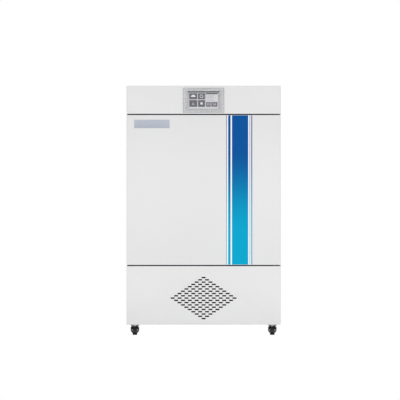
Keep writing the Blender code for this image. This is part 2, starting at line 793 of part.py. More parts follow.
def build_chamber_back():
    """The back sheet of the chamber, welded to the wrapper's edge, with the port tube."""
    radius = CHAMBER_RADIUS + SHEET
    half_x, half_z = CHAMBER_WIDTH / 2 + SHEET, CHAMBER_HEIGHT / 2 + SHEET
    sheet = box(
        "chamber_back",
        *centred(half_x, CHAMBER_BACK_Y, CHAMBER_BACK_Y + SHEET, half_z, MIDDLE_Z),
        STAINLESS,
        rounded=[(side, end, radius) for side in ("-X", "+X") for end in ("-Z", "+Z")],
        segments=3,
    )
    length = CASE_BACK_Y + PORT_PROUD - CHAMBER_BACK_Y - SHEET / 2
    tube_start = (PORT_X, CASE_BACK_Y + PORT_PROUD, PORT_Z)
    port = rod("port_tube", PORT_OUTER_RADIUS, length, tube_start, FRONT, 20, helper=True)
    bore_start = (PORT_X, CASE_BACK_Y + 2 * PORT_WALL + PORT_PROUD, PORT_Z)
    bore_radius = PORT_OUTER_RADIUS - PORT_WALL
    bore = rod("port_bore", bore_radius, 3 * length, bore_start, FRONT, 20, helper=True)
    join(sheet, port)
    cut(sheet, bore)


def build_port_plug():
    """The silicone stopper that closes the port from behind."""
    bore = (PORT_OUTER_RADIUS - PORT_WALL) * math.cos(math.pi / 20) - SEAT
    seat_y = CASE_BACK_Y + PORT_PROUD + SEAT
    profile = [
        (0, PLUG_HEAD),
        (PLUG_HEAD_RADIUS - PLUG_TAPER, PLUG_HEAD),
        (PLUG_HEAD_RADIUS, PLUG_HEAD - PLUG_TAPER),
        (PLUG_HEAD_RADIUS, 0),
        (bore, 0),
        (bore - PLUG_TAPER, -PLUG_LENGTH),
        (0, -PLUG_LENGTH),
    ]
    place = (PORT_X, seat_y, PORT_Z)
    plug = turned("port_plug", profile, place, BACK, 20, SILICONE)
    hang(joint("plug_axis", place), plug)


def build_inner_seal():
    """The silicone seal on the liner's flange, which the glass closes on."""
    half_x = CHAMBER_WIDTH / 2 + INNER_SEAL_SET_BACK + INNER_SEAL_WIDTH
    half_z = CHAMBER_HEIGHT / 2 + INNER_SEAL_SET_BACK + INNER_SEAL_WIDTH
    place = (0, LINER_FRONT_Y - SEAT - INNER_SEAL_THICKNESS, MIDDLE_Z)
    corner = CHAMBER_RADIUS + INNER_SEAL_SET_BACK + INNER_SEAL_WIDTH
    band, thickness = INNER_SEAL_WIDTH, INNER_SEAL_THICKNESS
    ring("inner_seal", half_x, half_z, band, thickness, place, SILICONE, corner)


# Outer door and its hinges
PIVOT_INSET = 0.015
PIVOT_BACK = 0.020
PIVOT_RADIUS = 0.004
PIVOT_LENGTH = 0.014
PIVOT_PLAY = 0.0005
SLEEVE_RADIUS = 0.007
SLEEVE_LENGTH = 0.018
HINGE_PLATE = 0.003
HINGE_PLATE_WIDTH = 0.036
HINGE_PLATE_FRONT = 0.010
HINGE_SHOULDER_RADIUS = 0.008
DOOR_LINER_WALL = 0.002
DOOR_LINER_STEP = 0.006
DOOR_LINER_DRAFT = 0.004
GASKET_BAND = 0.014
GASKET_SIDE_INSET = 0.018
GASKET_END_INSET = 0.004
GRIP_HEIGHT = 0.140
GRIP_WIDTH = 0.030
GRIP_DEPTH = 0.022
GRIP_WALL = 0.002
GRIP_BACK = 0.030
BADGE_WIDTH = 0.173
BADGE_HEIGHT = 0.040
BADGE_THICKNESS = 0.0025
BADGE_FROM_LEFT = 0.038
BADGE_FROM_TOP = 0.024
PIVOT_X = HALF_WIDTH - PIVOT_INSET
PIVOT_Y = FRONT_Y + PIVOT_BACK


def build_door():
    """The outer door: painted skin, foam, inner panel, gasket, finger grip and blank badge."""
    axis = joint("door_axis", (PIVOT_X, PIVOT_Y, MIDDLE_Z))
    hang(
        axis,
        build_door_skin(),
        build_door_foam(),
        build_door_liner(),
        build_door_gasket(),
        build_door_grip(),
        build_badge(),
    )


def pivot_rods(name, radius, length):
    """A helper rod into the door from each end, on the pivot axis."""
    top = rod(name + "_top", radius, length, (PIVOT_X, PIVOT_Y, DOOR_HIGH_Z), DOWN, helper=True)
    bottom = rod(name + "_bottom", radius, length, (PIVOT_X, PIVOT_Y, DOOR_LOW_Z), UP, helper=True)
    return top, bottom


def build_door_skin():
    """The painted door pan, with a welded pivot sleeve at each end."""
    skin = box(
        "door_skin",
        (-HALF_WIDTH, FRONT_Y, DOOR_LOW_Z),
        (HALF_WIDTH, DOOR_BACK_Y, DOOR_HIGH_Z),
        WHITE_PAINT,
        rounded=[("-X", "-Y", FRONT_EDGE_RADIUS), ("+X", "-Y", FRONT_EDGE_RADIUS)],
        open_sides=("+Y",),
        wall=SHEET,
    )
    sleeves = []
    bores = []
    for end, direction, edge in (("top", DOWN, DOOR_HIGH_Z), ("bottom", UP, DOOR_LOW_Z)):
        inward = -1 if end == "top" else 1
        start = (PIVOT_X, PIVOT_Y, edge + inward * SHEET / 2)
        sleeves.append(rod("sleeve_" + end, SLEEVE_RADIUS, SLEEVE_LENGTH, start, direction, helper=True))
        mouth = (PIVOT_X, PIVOT_Y, edge - inward * SHEET)
        depth = PIVOT_LENGTH + 2 * SHEET
        bore_radius = PIVOT_RADIUS + PIVOT_PLAY
        bores.append(rod("pivot_bore_" + end, bore_radius, depth, mouth, direction, helper=True))
    join(skin, *sleeves)
    middle_y = FRONT_Y + GRIP_BACK
    half_y, half_z = GRIP_WIDTH / 2 + SEAT, GRIP_HEIGHT / 2 + SEAT
    grip_hole = box(
        "grip_hole",
        (-HALF_WIDTH - 2 * SHEET, middle_y - half_y, MIDDLE_Z - half_z),
        (-HALF_WIDTH + 2 * SHEET, middle_y + half_y, MIDDLE_Z + half_z),
        helper=True,
    )
    return cut(skin, *bores, grip_hole)


def build_door_foam():
    """The foam slab that fills the door."""
    foam = box(
        "door_foam",
        (-INSIDE_HALF_WIDTH, FRONT_Y + SHEET + SEAT, DOOR_LOW_Z + SHEET + SEAT),
        (INSIDE_HALF_WIDTH, DOOR_BACK_Y - DOOR_LINER_WALL - SEAT, DOOR_HIGH_Z - SHEET - SEAT),
        FOAM,
        rounded=[("-X", "-Y", FRONT_EDGE_RADIUS), ("+X", "-Y", FRONT_EDGE_RADIUS)],
        segments=1,
    )
    pockets = pivot_rods("sleeve_pocket", SLEEVE_RADIUS + SEAT, SLEEVE_LENGTH + 2 * SHEET)
    middle_y = FRONT_Y + GRIP_BACK
    half_y, half_z = GRIP_WIDTH / 2 + SEAT, GRIP_HEIGHT / 2 + SEAT
    grip = box(
        "grip_pocket",
        (-HALF_WIDTH - SHEET, middle_y - half_y, MIDDLE_Z - half_z),
        (-HALF_WIDTH + GRIP_DEPTH + SEAT, middle_y + half_y, MIDDLE_Z + half_z),
        helper=True,
    )
    return cut(foam, *pockets, grip)


def build_door_liner():
    """The pressed inner panel, flat where the gasket sits and raised opposite the chamber."""
    half_height = DOOR_HEIGHT / 2 - SHEET - SEAT
    step_x = RECESS_HALF_WIDTH - DOOR_LINER_DRAFT
    step_z = RECESS_HALF_HEIGHT - 2 * DOOR_LINER_DRAFT
    return stepped(
        "door_liner",
        [
            (INSIDE_HALF_WIDTH, half_height, 0),
            (step_x, step_z, 0),
            (step_x - DOOR_LINER_DRAFT, step_z - DOOR_LINER_DRAFT, -DOOR_LINER_STEP),
        ],
        (0, DOOR_BACK_Y, MIDDLE_Z),
        BACK,
        WHITE_PAINT,
        DOOR_LINER_WALL,
        open_end=False,
    )


def build_door_gasket():
    """The magnetic gasket between the inner panel and the surround."""
    place = (0, DOOR_BACK_Y + SEAT, MIDDLE_Z)
    half_x = HALF_WIDTH - GASKET_SIDE_INSET
    half_z = DOOR_HEIGHT / 2 - GASKET_END_INSET
    return ring("door_gasket", half_x, half_z, GASKET_BAND, GASKET_THICKNESS, place, GREY_SEAL)


def build_door_grip():
    """The moulded finger pocket in the door's free edge."""
    middle_y = FRONT_Y + GRIP_BACK
    return box(
        "door_grip",
        (-HALF_WIDTH, middle_y - GRIP_WIDTH / 2, MIDDLE_Z - GRIP_HEIGHT / 2),
        (-HALF_WIDTH + GRIP_DEPTH, middle_y + GRIP_WIDTH / 2, MIDDLE_Z + GRIP_HEIGHT / 2),
        BLACK_PLASTIC,
        rounded=[("+X", "-Y", 2 * GRIP_WALL), ("+X", "+Y", 2 * GRIP_WALL)],
        open_sides=("-X",),
        wall=GRIP_WALL,
    )


def build_badge():
    """The blank badge plate at the door's upper left."""
    left = -HALF_WIDTH + BADGE_FROM_LEFT
    top = DOOR_HIGH_Z - BADGE_FROM_TOP
    return box(
        "badge_plate",
        (left, FRONT_Y - SEAT - BADGE_THICKNESS, top - BADGE_HEIGHT),
        (left + BADGE_WIDTH, FRONT_Y - SEAT, top),
        BADGE_METAL,
        rounded=[(side, "-Y", BADGE_THICKNESS / 3) for side in ("-X", "+X", "-Z", "+Z")],
        segments=1,
    )


def build_door_hinges():
    """The two pivot plates in the gaps above and below the door."""
    for end, plane, out in (("top", FASCIA_LOW_Z, -1), ("bottom", LOWER_TOP_Z, 1)):
        door_edge = DOOR_HIGH_Z if end == "top" else DOOR_LOW_Z
        near, far = plane + out * SEAT, plane + out * (SEAT + HINGE_PLATE)
        plate = box(
            "hinge_bracket_" + end,
            (PIVOT_X - HINGE_PLATE_WIDTH / 2, PIVOT_Y - HINGE_PLATE_FRONT, min(near, far)),
            (min(PIVOT_X + HINGE_PLATE_WIDTH / 2, HALF_WIDTH - SEAT), CASE_FRONT_Y - SEAT, max(near, far)),
            ZINC,
            rounded=[("-X", "-Y", HINGE_PLATE_FRONT / 2), ("+X", "-Y", HINGE_PLATE_FRONT / 2)],
        )
        direction = UP if out > 0 else DOWN
        start = (PIVOT_X, PIVOT_Y, plane + out * (SEAT + HINGE_PLATE / 2))
        pin_length = abs(door_edge - start[2]) + PIVOT_LENGTH
        shoulder_length = abs(door_edge - start[2]) - SEAT
        pin = rod("pivot_pin_" + end, PIVOT_RADIUS, pin_length, start, direction, helper=True)
        radius = HINGE_SHOULDER_RADIUS
        shoulder = rod("shoulder_" + end, radius, shoulder_length, start, direction, helper=True)
        join(plate, shoulder, pin)


# Glass door
GLASS_PIVOT_GAP = 0.008
STILE_RADIUS = 0.004
STILE_HALF_HEIGHT = 0.300
STILE_LAP = 0.022
STILE_PLATE = 0.002
GLASS_PIN_RADIUS = 0.0022
GLASS_PIN_LENGTH = 0.008
GLASS_BRACKET = 0.005
GLASS_BRACKET_FLANGE = 0.030
KNOB_RADIUS = 0.010
KNOB_HEIGHT = 0.018
KNOB_FROM_EDGE = 0.024
GLASS_PIVOT_X = GLASS_HALF_WIDTH + GLASS_PIVOT_GAP
GLASS_PIVOT_Y = (GLASS_FRONT_Y + GLASS_BACK_Y) / 2


def build_glass_door():
    """The inner glass door with its hinge stile and knob."""
    axis = joint("glass_door_axis", (GLASS_PIVOT_X, GLASS_PIVOT_Y, MIDDLE_Z))
    pane = box(
        "glass_pane",
        *centred(GLASS_HALF_WIDTH, GLASS_FRONT_Y, GLASS_BACK_Y, GLASS_HALF_HEIGHT, MIDDLE_Z),
        GLASS,
        rounded=[
            (side, face, GLASS_THICKNESS / 6)
            for face in ("-Y", "+Y")
            for side in ("-X", "+X", "-Z", "+Z")
        ],
        segments=1,
    )
    column_low = (GLASS_PIVOT_X, GLASS_PIVOT_Y, MIDDLE_Z - STILE_HALF_HEIGHT)
    stile = rod("glass_hinge_stile", STILE_RADIUS, 2 * STILE_HALF_HEIGHT, column_low, UP, 16, STAINLESS)
    plate_front = GLASS_FRONT_Y - SEAT - STILE_PLATE
    plate_half_height = STILE_HALF_HEIGHT - STILE_PLATE
    plate = box(
        "stile_plate",
        (GLASS_HALF_WIDTH - STILE_LAP, plate_front, MIDDLE_Z - plate_half_height),
        (GLASS_PIVOT_X, GLASS_FRONT_Y - SEAT, MIDDLE_Z + plate_half_height),
        helper=True,
    )
    pin_half_length = STILE_HALF_HEIGHT + GLASS_PIN_LENGTH
    pin_low = (GLASS_PIVOT_X, GLASS_PIVOT_Y, MIDDLE_Z - pin_half_length)
    pins = rod("stile_pins", GLASS_PIN_RADIUS, 2 * pin_half_length, pin_low, helper=True)
    join(stile, plate, pins)
    knob_profile = [
        (0, KNOB_HEIGHT),
        (KNOB_RADIUS * 0.8, KNOB_HEIGHT),
        (KNOB_RADIUS, KNOB_HEIGHT * 0.85),
        (KNOB_RADIUS * 0.9, KNOB_HEIGHT * 0.5),
        (KNOB_RADIUS * 0.6, KNOB_HEIGHT * 0.25),
        (KNOB_RADIUS * 0.7, 0),
        (0, 0),
    ]
    knob_place = (KNOB_FROM_EDGE - GLASS_HALF_WIDTH, GLASS_FRONT_Y - SEAT, MIDDLE_Z)
    knob = turned("glass_knob", knob_profile, knob_place, FRONT, 16, BLACK_PLASTIC)
    hang(axis, pane, stile, knob)


# Shelves, their racks and the water pan
LEDGE_COUNT = 8
LEDGE_WIDTH = 0.014
RACK_LIFT = 0.027
RACK_HEADROOM = 0.095
LEDGE_PITCH = (CHAMBER_HEIGHT - RACK_LIFT - RACK_HEADROOM) / LEDGE_COUNT
SHELF_FRONT_GAP = 0.040
RACK_DEPTH = CHAMBER_DEPTH - 2 * SHELF_FRONT_GAP
SHELF_EDGE = 0.012
SHELF_PLAY = 0.0015
SHELF_LEDGES = (1, 3, 5)
SHELF_SLOT_COLUMNS = 4
SHELF_SLOT_ROWS = 5
SHELF_SLOT_LENGTH = 0.085
SHELF_SLOT_WIDTH = 0.016
SHELF_MARGIN_X = 0.020
SHELF_MARGIN_Y = 0.015
PAN_WIDTH = 0.400
PAN_DEPTH = 0.380
PAN_HEIGHT = 0.035
PAN_RIM = 0.012
PAN_DRAFT = 0.010
PAN_CORNER = 0.030
RACK_INSIDE_X = CHAMBER_WIDTH / 2 - SEAT - SHEET
SHELF_FRONT_Y = LINER_FRONT_Y + SHELF_FRONT_GAP


def ledge_z(index):
    """Top of a ledge."""
    return CHAMBER_LOW_Z + RACK_LIFT + (index + 0.5) * LEDGE_PITCH


def build_racks():
    """The side racks: a web on each wall with a ledge at each shelf position."""
    points = [(0, 0), (SHEET, 0)]
    for index in range(LEDGE_COUNT):
        high = (index + 0.5) * LEDGE_PITCH
        low = high - SHEET
        ledge_x = SHEET + LEDGE_WIDTH
        points += [(SHEET, low), (ledge_x, low), (ledge_x, high), (SHEET, high)]
    top = LEDGE_COUNT * LEDGE_PITCH
    points += [(SHEET, top), (0, top)]
    middle_y = SHELF_FRONT_Y + RACK_DEPTH / 2
    wall_x, low_z = CHAMBER_WIDTH / 2 - SEAT, CHAMBER_LOW_Z + RACK_LIFT
    outline("shelf_rack_left", points, RACK_DEPTH, (-wall_x, middle_y, low_z), FRONT, STAINLESS)
    mirrored = [(-x, z) for x, z in reversed(points)]
    outline("shelf_rack_right", mirrored, RACK_DEPTH, (wall_x, middle_y, low_z), FRONT, STAINLESS)


def build_shelves():
    """Three perforated shelves with turned-down edges that slide on the ledges."""
    half_x = RACK_INSIDE_X - SHELF_PLAY
    centres = grid_centres(
        SHELF_SLOT_COLUMNS,
        SHELF_SLOT_ROWS,
        (CHAMBER_WIDTH - 2 * SHELF_MARGIN_X) / SHELF_SLOT_COLUMNS,
        (RACK_DEPTH - 2 * SHELF_MARGIN_Y) / SHELF_SLOT_ROWS,
    )
    for number, ledge in enumerate(SHELF_LEDGES, start=1):
        bottom = ledge_z(ledge) + SEAT
        shelf = box(
            f"shelf_{number}",
            (-half_x, SHELF_FRONT_Y, bottom),
            (half_x, SHELF_FRONT_Y + RACK_DEPTH, bottom + SHELF_EDGE),
            STAINLESS,
            open_sides=("-Z",),
            wall=SHEET,
        )
        holes = windows(
            f"shelf_slots_{number}", centres, SHELF_SLOT_LENGTH, SHELF_SLOT_WIDTH, 4 * SHEET, UP
        )
        holes.location = (0, SHELF_FRONT_Y + RACK_DEPTH / 2, bottom + SHELF_EDGE)
        cut(shelf, holes)
        hang(joint(f"shelf_{number}_slide", (0, SHELF_FRONT_Y, bottom)), shelf)


def build_water_pan():
    """The deep-drawn pan on the chamber floor that keeps the air humid."""
    middle = (0, SHELF_FRONT_Y + RACK_DEPTH / 2, CHAMBER_LOW_Z + SEAT + PAN_HEIGHT)
    half_x, half_y = PAN_WIDTH / 2, PAN_DEPTH / 2
    pan = stepped(
        "humidity_pan",
        [
            (half_x, half_y, 0),
            (half_x - PAN_RIM, half_y - PAN_RIM, 0),
            (half_x - PAN_RIM - PAN_DRAFT, half_y - PAN_RIM - PAN_DRAFT, PAN_HEIGHT - SHEET),
        ],
        middle,
        UP,
        STAINLESS,
        SHEET,
        corner=PAN_CORNER,
        open_end=False,
    )
    hang(joint("pan_slide", middle), pan)


# Air circulation: a plenum under the ceiling, its fan, and the motor above the insulation
FAN_BEHIND_FRONT = 0.290
FAN_Y = CASE_FRONT_Y + FAN_BEHIND_FRONT
FAN_RADIUS = 0.060
FAN_HUB_RADIUS = 0.014
FAN_BLADES = 12
FAN_BLADE_HEIGHT = 0.018
FAN_BLADE_LENGTH = 0.024
FAN_BLADE_LEAN = 35.0
FAN_PLATE = 0.002
FAN_BELOW_CEILING = 0.006
SHAFT_RADIUS = 0.004
SHAFT_HOLE_RADIUS = 0.012
SHAFT_IN_MOTOR = 0.020
PLENUM_HALF_WIDTH = 0.180
PLENUM_HALF_DEPTH = 0.140
PLENUM_HEIGHT = 0.040
PLENUM_SLOT_COUNT = 7
PLENUM_SLOT_PITCH = 0.014
PLENUM_OUTLETS = 4
MOTOR_RADIUS = 0.036
MOTOR_HEIGHT = 0.062
MOTOR_FLANGE_RADIUS = 0.045


def build_air_plenum():
    """The stainless cover under the ceiling, slotted for the fan's intake and its outlets."""
    low_z = CHAMBER_HIGH_Z - SEAT - PLENUM_HEIGHT
    plenum = box(
        "air_plenum",
        (-PLENUM_HALF_WIDTH, FAN_Y - PLENUM_HALF_DEPTH, low_z),
        (PLENUM_HALF_WIDTH, FAN_Y + PLENUM_HALF_DEPTH, CHAMBER_HIGH_Z - SEAT),
        STAINLESS,
        open_sides=("+Z",),
        wall=SHEET,
    )
    reach = FAN_RADIUS * 0.8
    intake = []
    for index in range(PLENUM_SLOT_COUNT):
        y = (index - (PLENUM_SLOT_COUNT - 1) / 2) * PLENUM_SLOT_PITCH
        intake.append((y, 2 * math.sqrt(reach**2 - y**2)))
    bm = bmesh.new()
    for y, length in intake:
        size = Matrix.Diagonal((length, PLENUM_SLOT_PITCH / 2, 4 * SHEET, 1.0))
        bmesh.ops.create_cube(bm, size=1.0, matrix=Matrix.Translation((0, y, 0)) @ size)
    intake_slots = bm_cutter(bm, "intake_slots", UP)
    intake_slots.location = (0, FAN_Y, low_z)
    outlet_pitch = 2 * PLENUM_HALF_WIDTH / (PLENUM_OUTLETS + 1)
    outlet_width = PLENUM_HALF_WIDTH / PLENUM_OUTLETS
    centres = grid_centres(PLENUM_OUTLETS, 1, outlet_pitch, 0)
    through = 4 * PLENUM_HALF_DEPTH
    outlets = windows("outlet_slots", centres, outlet_width, PLENUM_HEIGHT / 3, through)
    outlets.location = (0, FAN_Y, CHAMBER_HIGH_Z - PLENUM_HEIGHT / 2)
    cut(plenum, intake_slots, outlets)


def build_circulation_fan():
    """The centrifugal wheel and the shaft that turns it."""
    top = CHAMBER_HIGH_Z - FAN_BELOW_CEILING
    blade_low = top - FAN_PLATE - FAN_BLADE_HEIGHT
    profile = [
        (0, 0),
        (FAN_RADIUS, 0),
        (FAN_RADIUS, -FAN_PLATE),
        (FAN_HUB_RADIUS, -FAN_PLATE),
        (FAN_HUB_RADIUS * 0.8, blade_low - top),
        (0, blade_low - top),
    ]
    fan = turned("circulation_fan", profile, (0, FAN_Y, top), UP, 20, BLACK_PLASTIC)
    bm = bmesh.new()
    for index in range(FAN_BLADES):
        turn = Matrix.Rotation(2 * math.pi * index / FAN_BLADES, 4, "Z")
        out = Matrix.Translation((FAN_RADIUS - FAN_BLADE_LENGTH / 2 - FAN_PLATE, 0, 0))
        lean = Matrix.Rotation(math.radians(FAN_BLADE_LEAN), 4, "Z")
        size = Matrix.Diagonal((FAN_BLADE_LENGTH, FAN_PLATE, FAN_BLADE_HEIGHT, 1.0))
        bmesh.ops.create_cube(bm, size=1.0, matrix=turn @ out @ lean @ size)
    blades = bm_cutter(bm, "fan_blades", UP)
    blades.location = (0, FAN_Y, top - FAN_PLATE / 2 - FAN_BLADE_HEIGHT / 2)
    shaft_low = top - FAN_PLATE / 2
    shaft_length = TRAY_Z + SHEET + SEAT + SHAFT_IN_MOTOR - shaft_low
    shaft = rod("fan_shaft", SHAFT_RADIUS, shaft_length, (0, FAN_Y, shaft_low), helper=True)
    join(fan, shaft, blades)
    hang(joint("circulation_fan_axis", (0, FAN_Y, top)), fan)


def build_fan_motor():
    """The circulation fan's motor on the electrical tray."""
    base = TRAY_Z + SHEET + SEAT
    bore = SHAFT_RADIUS + SEAT
    flange = MOTOR_HEIGHT / 10
    profile = [
        (0, MOTOR_HEIGHT),
        (MOTOR_RADIUS * 0.8, MOTOR_HEIGHT),
        (MOTOR_RADIUS, MOTOR_HEIGHT * 0.9),
        (MOTOR_RADIUS, flange),
        (MOTOR_FLANGE_RADIUS, flange),
        (MOTOR_FLANGE_RADIUS, 0),
        (bore, 0),
        (bore, SHAFT_IN_MOTOR + SEAT),
        (0, SHAFT_IN_MOTOR + SEAT),
    ]
    turned("fan_motor", profile, (0, FAN_Y, base), UP, 20, BLACK_ENAMEL)


# Gas supply, sensor and power supply
VALVE_X = -0.210
VALVE_ABOVE_TRAY = 0.050
VALVE_Z = TRAY_Z + VALVE_ABOVE_TRAY
VALVE_BODY = 0.030
VALVE_NECK_RADIUS = 0.008
VALVE_BARB_LENGTH = 0.013
COIL_RADIUS = 0.014
COIL_HEIGHT = 0.034
GAS_TUBE_RADIUS = 0.004
GAS_HOLE_RADIUS = 0.006
GAS_BEFORE_BACK = 0.0445
GAS_Y = CHAMBER_BACK_Y - GAS_BEFORE_BACK
GAS_INTO_CHAMBER = 0.010
SENSOR_X = -0.150
SENSOR_DROP = 0.120
SENSOR_LENGTH = 0.070
SENSOR_RADIUS = 0.011
SUPPLY_X = 0.200
SUPPLY_WIDTH = 0.160
SUPPLY_DEPTH = 0.110
SUPPLY_HEIGHT = 0.050


def build_gas_valve():
    """The solenoid valve, with its inlet barb through the rear panel."""
    inner = INSIDE_BACK_Y - SHEET
    half = VALVE_BODY / 2
    valve = box(
        "co2_valve",
        (VALVE_X - half, inner - VALVE_BODY, VALVE_Z - half),
        (VALVE_X + half, inner, VALVE_Z + half),
        BRASS,
    )
    coil_start = (VALVE_X, inner - half, VALVE_Z + half / 2)
    coil = rod("valve_coil", COIL_RADIUS, COIL_HEIGHT + half / 2, coil_start, sides=16, helper=True)
    depth = CASE_BACK_Y - inner
    barb = [
        (0, depth + VALVE_BARB_LENGTH),
        (VALVE_NECK_RADIUS * 0.4, depth + VALVE_BARB_LENGTH),
        (VALVE_NECK_RADIUS * 0.6, depth + VALVE_BARB_LENGTH * 0.7),
        (VALVE_NECK_RADIUS * 0.45, depth + VALVE_BARB_LENGTH * 0.65),
        (VALVE_NECK_RADIUS * 0.6, depth + VALVE_BARB_LENGTH * 0.35),
        (VALVE_NECK_RADIUS, depth + VALVE_BARB_LENGTH * 0.3),
        (VALVE_NECK_RADIUS, -half),
        (0, -half),
    ]
    inlet = turned("valve_inlet", barb, (VALVE_X, inner, VALVE_Z), BACK, 12, helper=True)
    join(valve, coil, inlet)


def build_gas_tube():
    """The gas line from the valve, down through the insulation and into the chamber."""
    valve_face = INSIDE_BACK_Y - SHEET - VALVE_BODY - SEAT
    bend = VALVE_ABOVE_TRAY / 2
    tray_side = TRAY_Z + SHEET
    route = [
        Vector((VALVE_X, valve_face, VALVE_Z)),
        Vector((VALVE_X, (valve_face + GAS_Y + bend) / 2, VALVE_Z)),
        Vector((VALVE_X, GAS_Y + bend, VALVE_Z)),
        Vector((VALVE_X, GAS_Y, VALVE_Z - bend)),
        Vector((VALVE_X, GAS_Y, tray_side)),
        Vector((VALVE_X, GAS_Y, CHAMBER_HIGH_Z - GAS_INTO_CHAMBER)),
    ]
    tube("gas_tube", route, GAS_TUBE_RADIUS, SILICONE)


def build_sensor():
    """The gas sensor that reaches in through the chamber's back wall."""
    profile = [
        (0, SENSOR_LENGTH),
        (SENSOR_RADIUS * 0.7, SENSOR_LENGTH),
        (SENSOR_RADIUS, SENSOR_LENGTH * 0.95),
        (SENSOR_RADIUS, SENSOR_LENGTH * 0.2),
        (SENSOR_RADIUS * 1.6, SENSOR_LENGTH * 0.15),
        (SENSOR_RADIUS * 1.6, 0),
        (0, 0),
    ]
    place = (SENSOR_X, CHAMBER_BACK_Y - SEAT, CHAMBER_HIGH_Z - SENSOR_DROP)
    turned("co2_sensor", profile, place, FRONT, 16, WHITE_PLASTIC)


def build_power_supply():
    """The power supply on the electrical tray."""
    half_x, half_y = SUPPLY_WIDTH / 2, SUPPLY_DEPTH / 2
    base = TRAY_Z + SHEET + SEAT
    box(
        "power_supply",
        (SUPPLY_X - half_x, FAN_Y - half_y, base),
        (SUPPLY_X + half_x, FAN_Y + half_y, base + SUPPLY_HEIGHT),
        ALUMINIUM,
        rounded=[("-X", "+Z", SHEET), ("+X", "+Z", SHEET)],
        segments=1,
    )


# Power inlet with its rocker switch
INLET_X = 0.270
INLET_Z = 0.150
INLET_BODY_WIDTH = 0.036
INLET_BODY_HEIGHT = 0.062
INLET_BODY_DEPTH = 0.030
INLET_FLANGE = 0.006
INLET_FLANGE_THICKNESS = 0.003
SOCKET_WIDTH = 0.025
SOCKET_HEIGHT = 0.017
SOCKET_DEPTH = 0.017
SOCKET_DROP = 0.014
SOCKET_PIN_WIDTH = 0.004
SOCKET_PIN_HEIGHT = 0.002
SOCKET_PIN_PITCH = 0.007
ROCKER_RISE = 0.015
ROCKER_WIDTH = 0.020
ROCKER_HALF_LENGTH = 0.0095
ROCKER_PLAY = 0.001
ROCKER_DEPTH = 0.012
ROCKER_TILT = 7.0


def build_power_inlet():
    """The inlet module: a socket with three pins and, above it, the rocker's well."""
    outer = CASE_BACK_Y + SEAT + INLET_FLANGE_THICKNESS
    half_x, half_z = INLET_BODY_WIDTH / 2, INLET_BODY_HEIGHT / 2
    module = box(
        "power_inlet",
        (INLET_X - half_x - INLET_FLANGE, CASE_BACK_Y + SEAT, INLET_Z - half_z - INLET_FLANGE),
        (INLET_X + half_x + INLET_FLANGE, outer, INLET_Z + half_z + INLET_FLANGE),
        BLACK_PLASTIC,
    )
    body = box(
        "inlet_body",
        (INLET_X - half_x, CASE_BACK_Y - INLET_BODY_DEPTH, INLET_Z - half_z),
        (INLET_X + half_x, outer - INLET_FLANGE_THICKNESS / 2, INLET_Z + half_z),
        helper=True,
    )
    socket_z = INLET_Z - SOCKET_DROP
    socket = box(
        "socket_well",
        (INLET_X - SOCKET_WIDTH / 2, outer - SOCKET_DEPTH, socket_z - SOCKET_HEIGHT / 2),
        (INLET_X + SOCKET_WIDTH / 2, outer + SOCKET_DEPTH, socket_z + SOCKET_HEIGHT / 2),
        helper=True,
    )
    rocker_z = INLET_Z + ROCKER_RISE
    well_x = ROCKER_WIDTH / 2 + ROCKER_PLAY
    well_z = ROCKER_HALF_LENGTH + ROCKER_PLAY
    well = box(
        "rocker_well",
        (INLET_X - well_x, outer - ROCKER_DEPTH, rocker_z - well_z),
        (INLET_X + well_x, outer + ROCKER_DEPTH, rocker_z + well_z),
        helper=True,
    )
    bm = bmesh.new()
    pin_size = Matrix.Diagonal((SOCKET_PIN_WIDTH, SOCKET_DEPTH, SOCKET_PIN_HEIGHT, 1.0))
    earth_rise = SOCKET_PIN_HEIGHT
    for x, z in ((-SOCKET_PIN_PITCH, -earth_rise), (0.0, earth_rise), (SOCKET_PIN_PITCH, -earth_rise)):
        bmesh.ops.create_cube(bm, size=1.0, matrix=Matrix.Translation((x, 0, z)) @ pin_size)
    pins = bm_cutter(bm, "socket_pins", UP)
    pins.location = (INLET_X, outer - SOCKET_DEPTH, socket_z)
    join(module, body)
    cut(module, socket, well)
    join(module, pins)


def build_power_switch():
    """The rocker, resting at off, on a pivot that runs across it."""
    outer = CASE_BACK_Y + SEAT + INLET_FLANGE_THICKNESS
    pivot = (INLET_X, outer - ROCKER_DEPTH / 2, INLET_Z + ROCKER_RISE)
    reach, face = ROCKER_HALF_LENGTH, ROCKER_DEPTH / 2
    tilt = math.radians(ROCKER_TILT)
    # Side outline: two raised ends, a dip over the pivot, and a narrow tail inside the well
    points = [
        (face * 0.6, -reach * 0.97),
        (face * 1.5, -reach * 0.9),
        (face * 1.0, 0),
        (face * 1.5, reach * 0.9),
        (face * 0.6, reach * 0.97),
        (-face * 0.5, reach * 0.35),
        (-face * 0.5, -reach * 0.35),
    ]
    cosine, sine = math.cos(tilt), math.sin(tilt)
    tilted = [(y * cosine - z * sine, y * sine + z * cosine) for y, z in points]
    rocker = outline("power_switch", tilted, ROCKER_WIDTH, pivot, RIGHT, BLACK_PLASTIC)
    hang(joint("power_switch_axis", pivot), rocker)


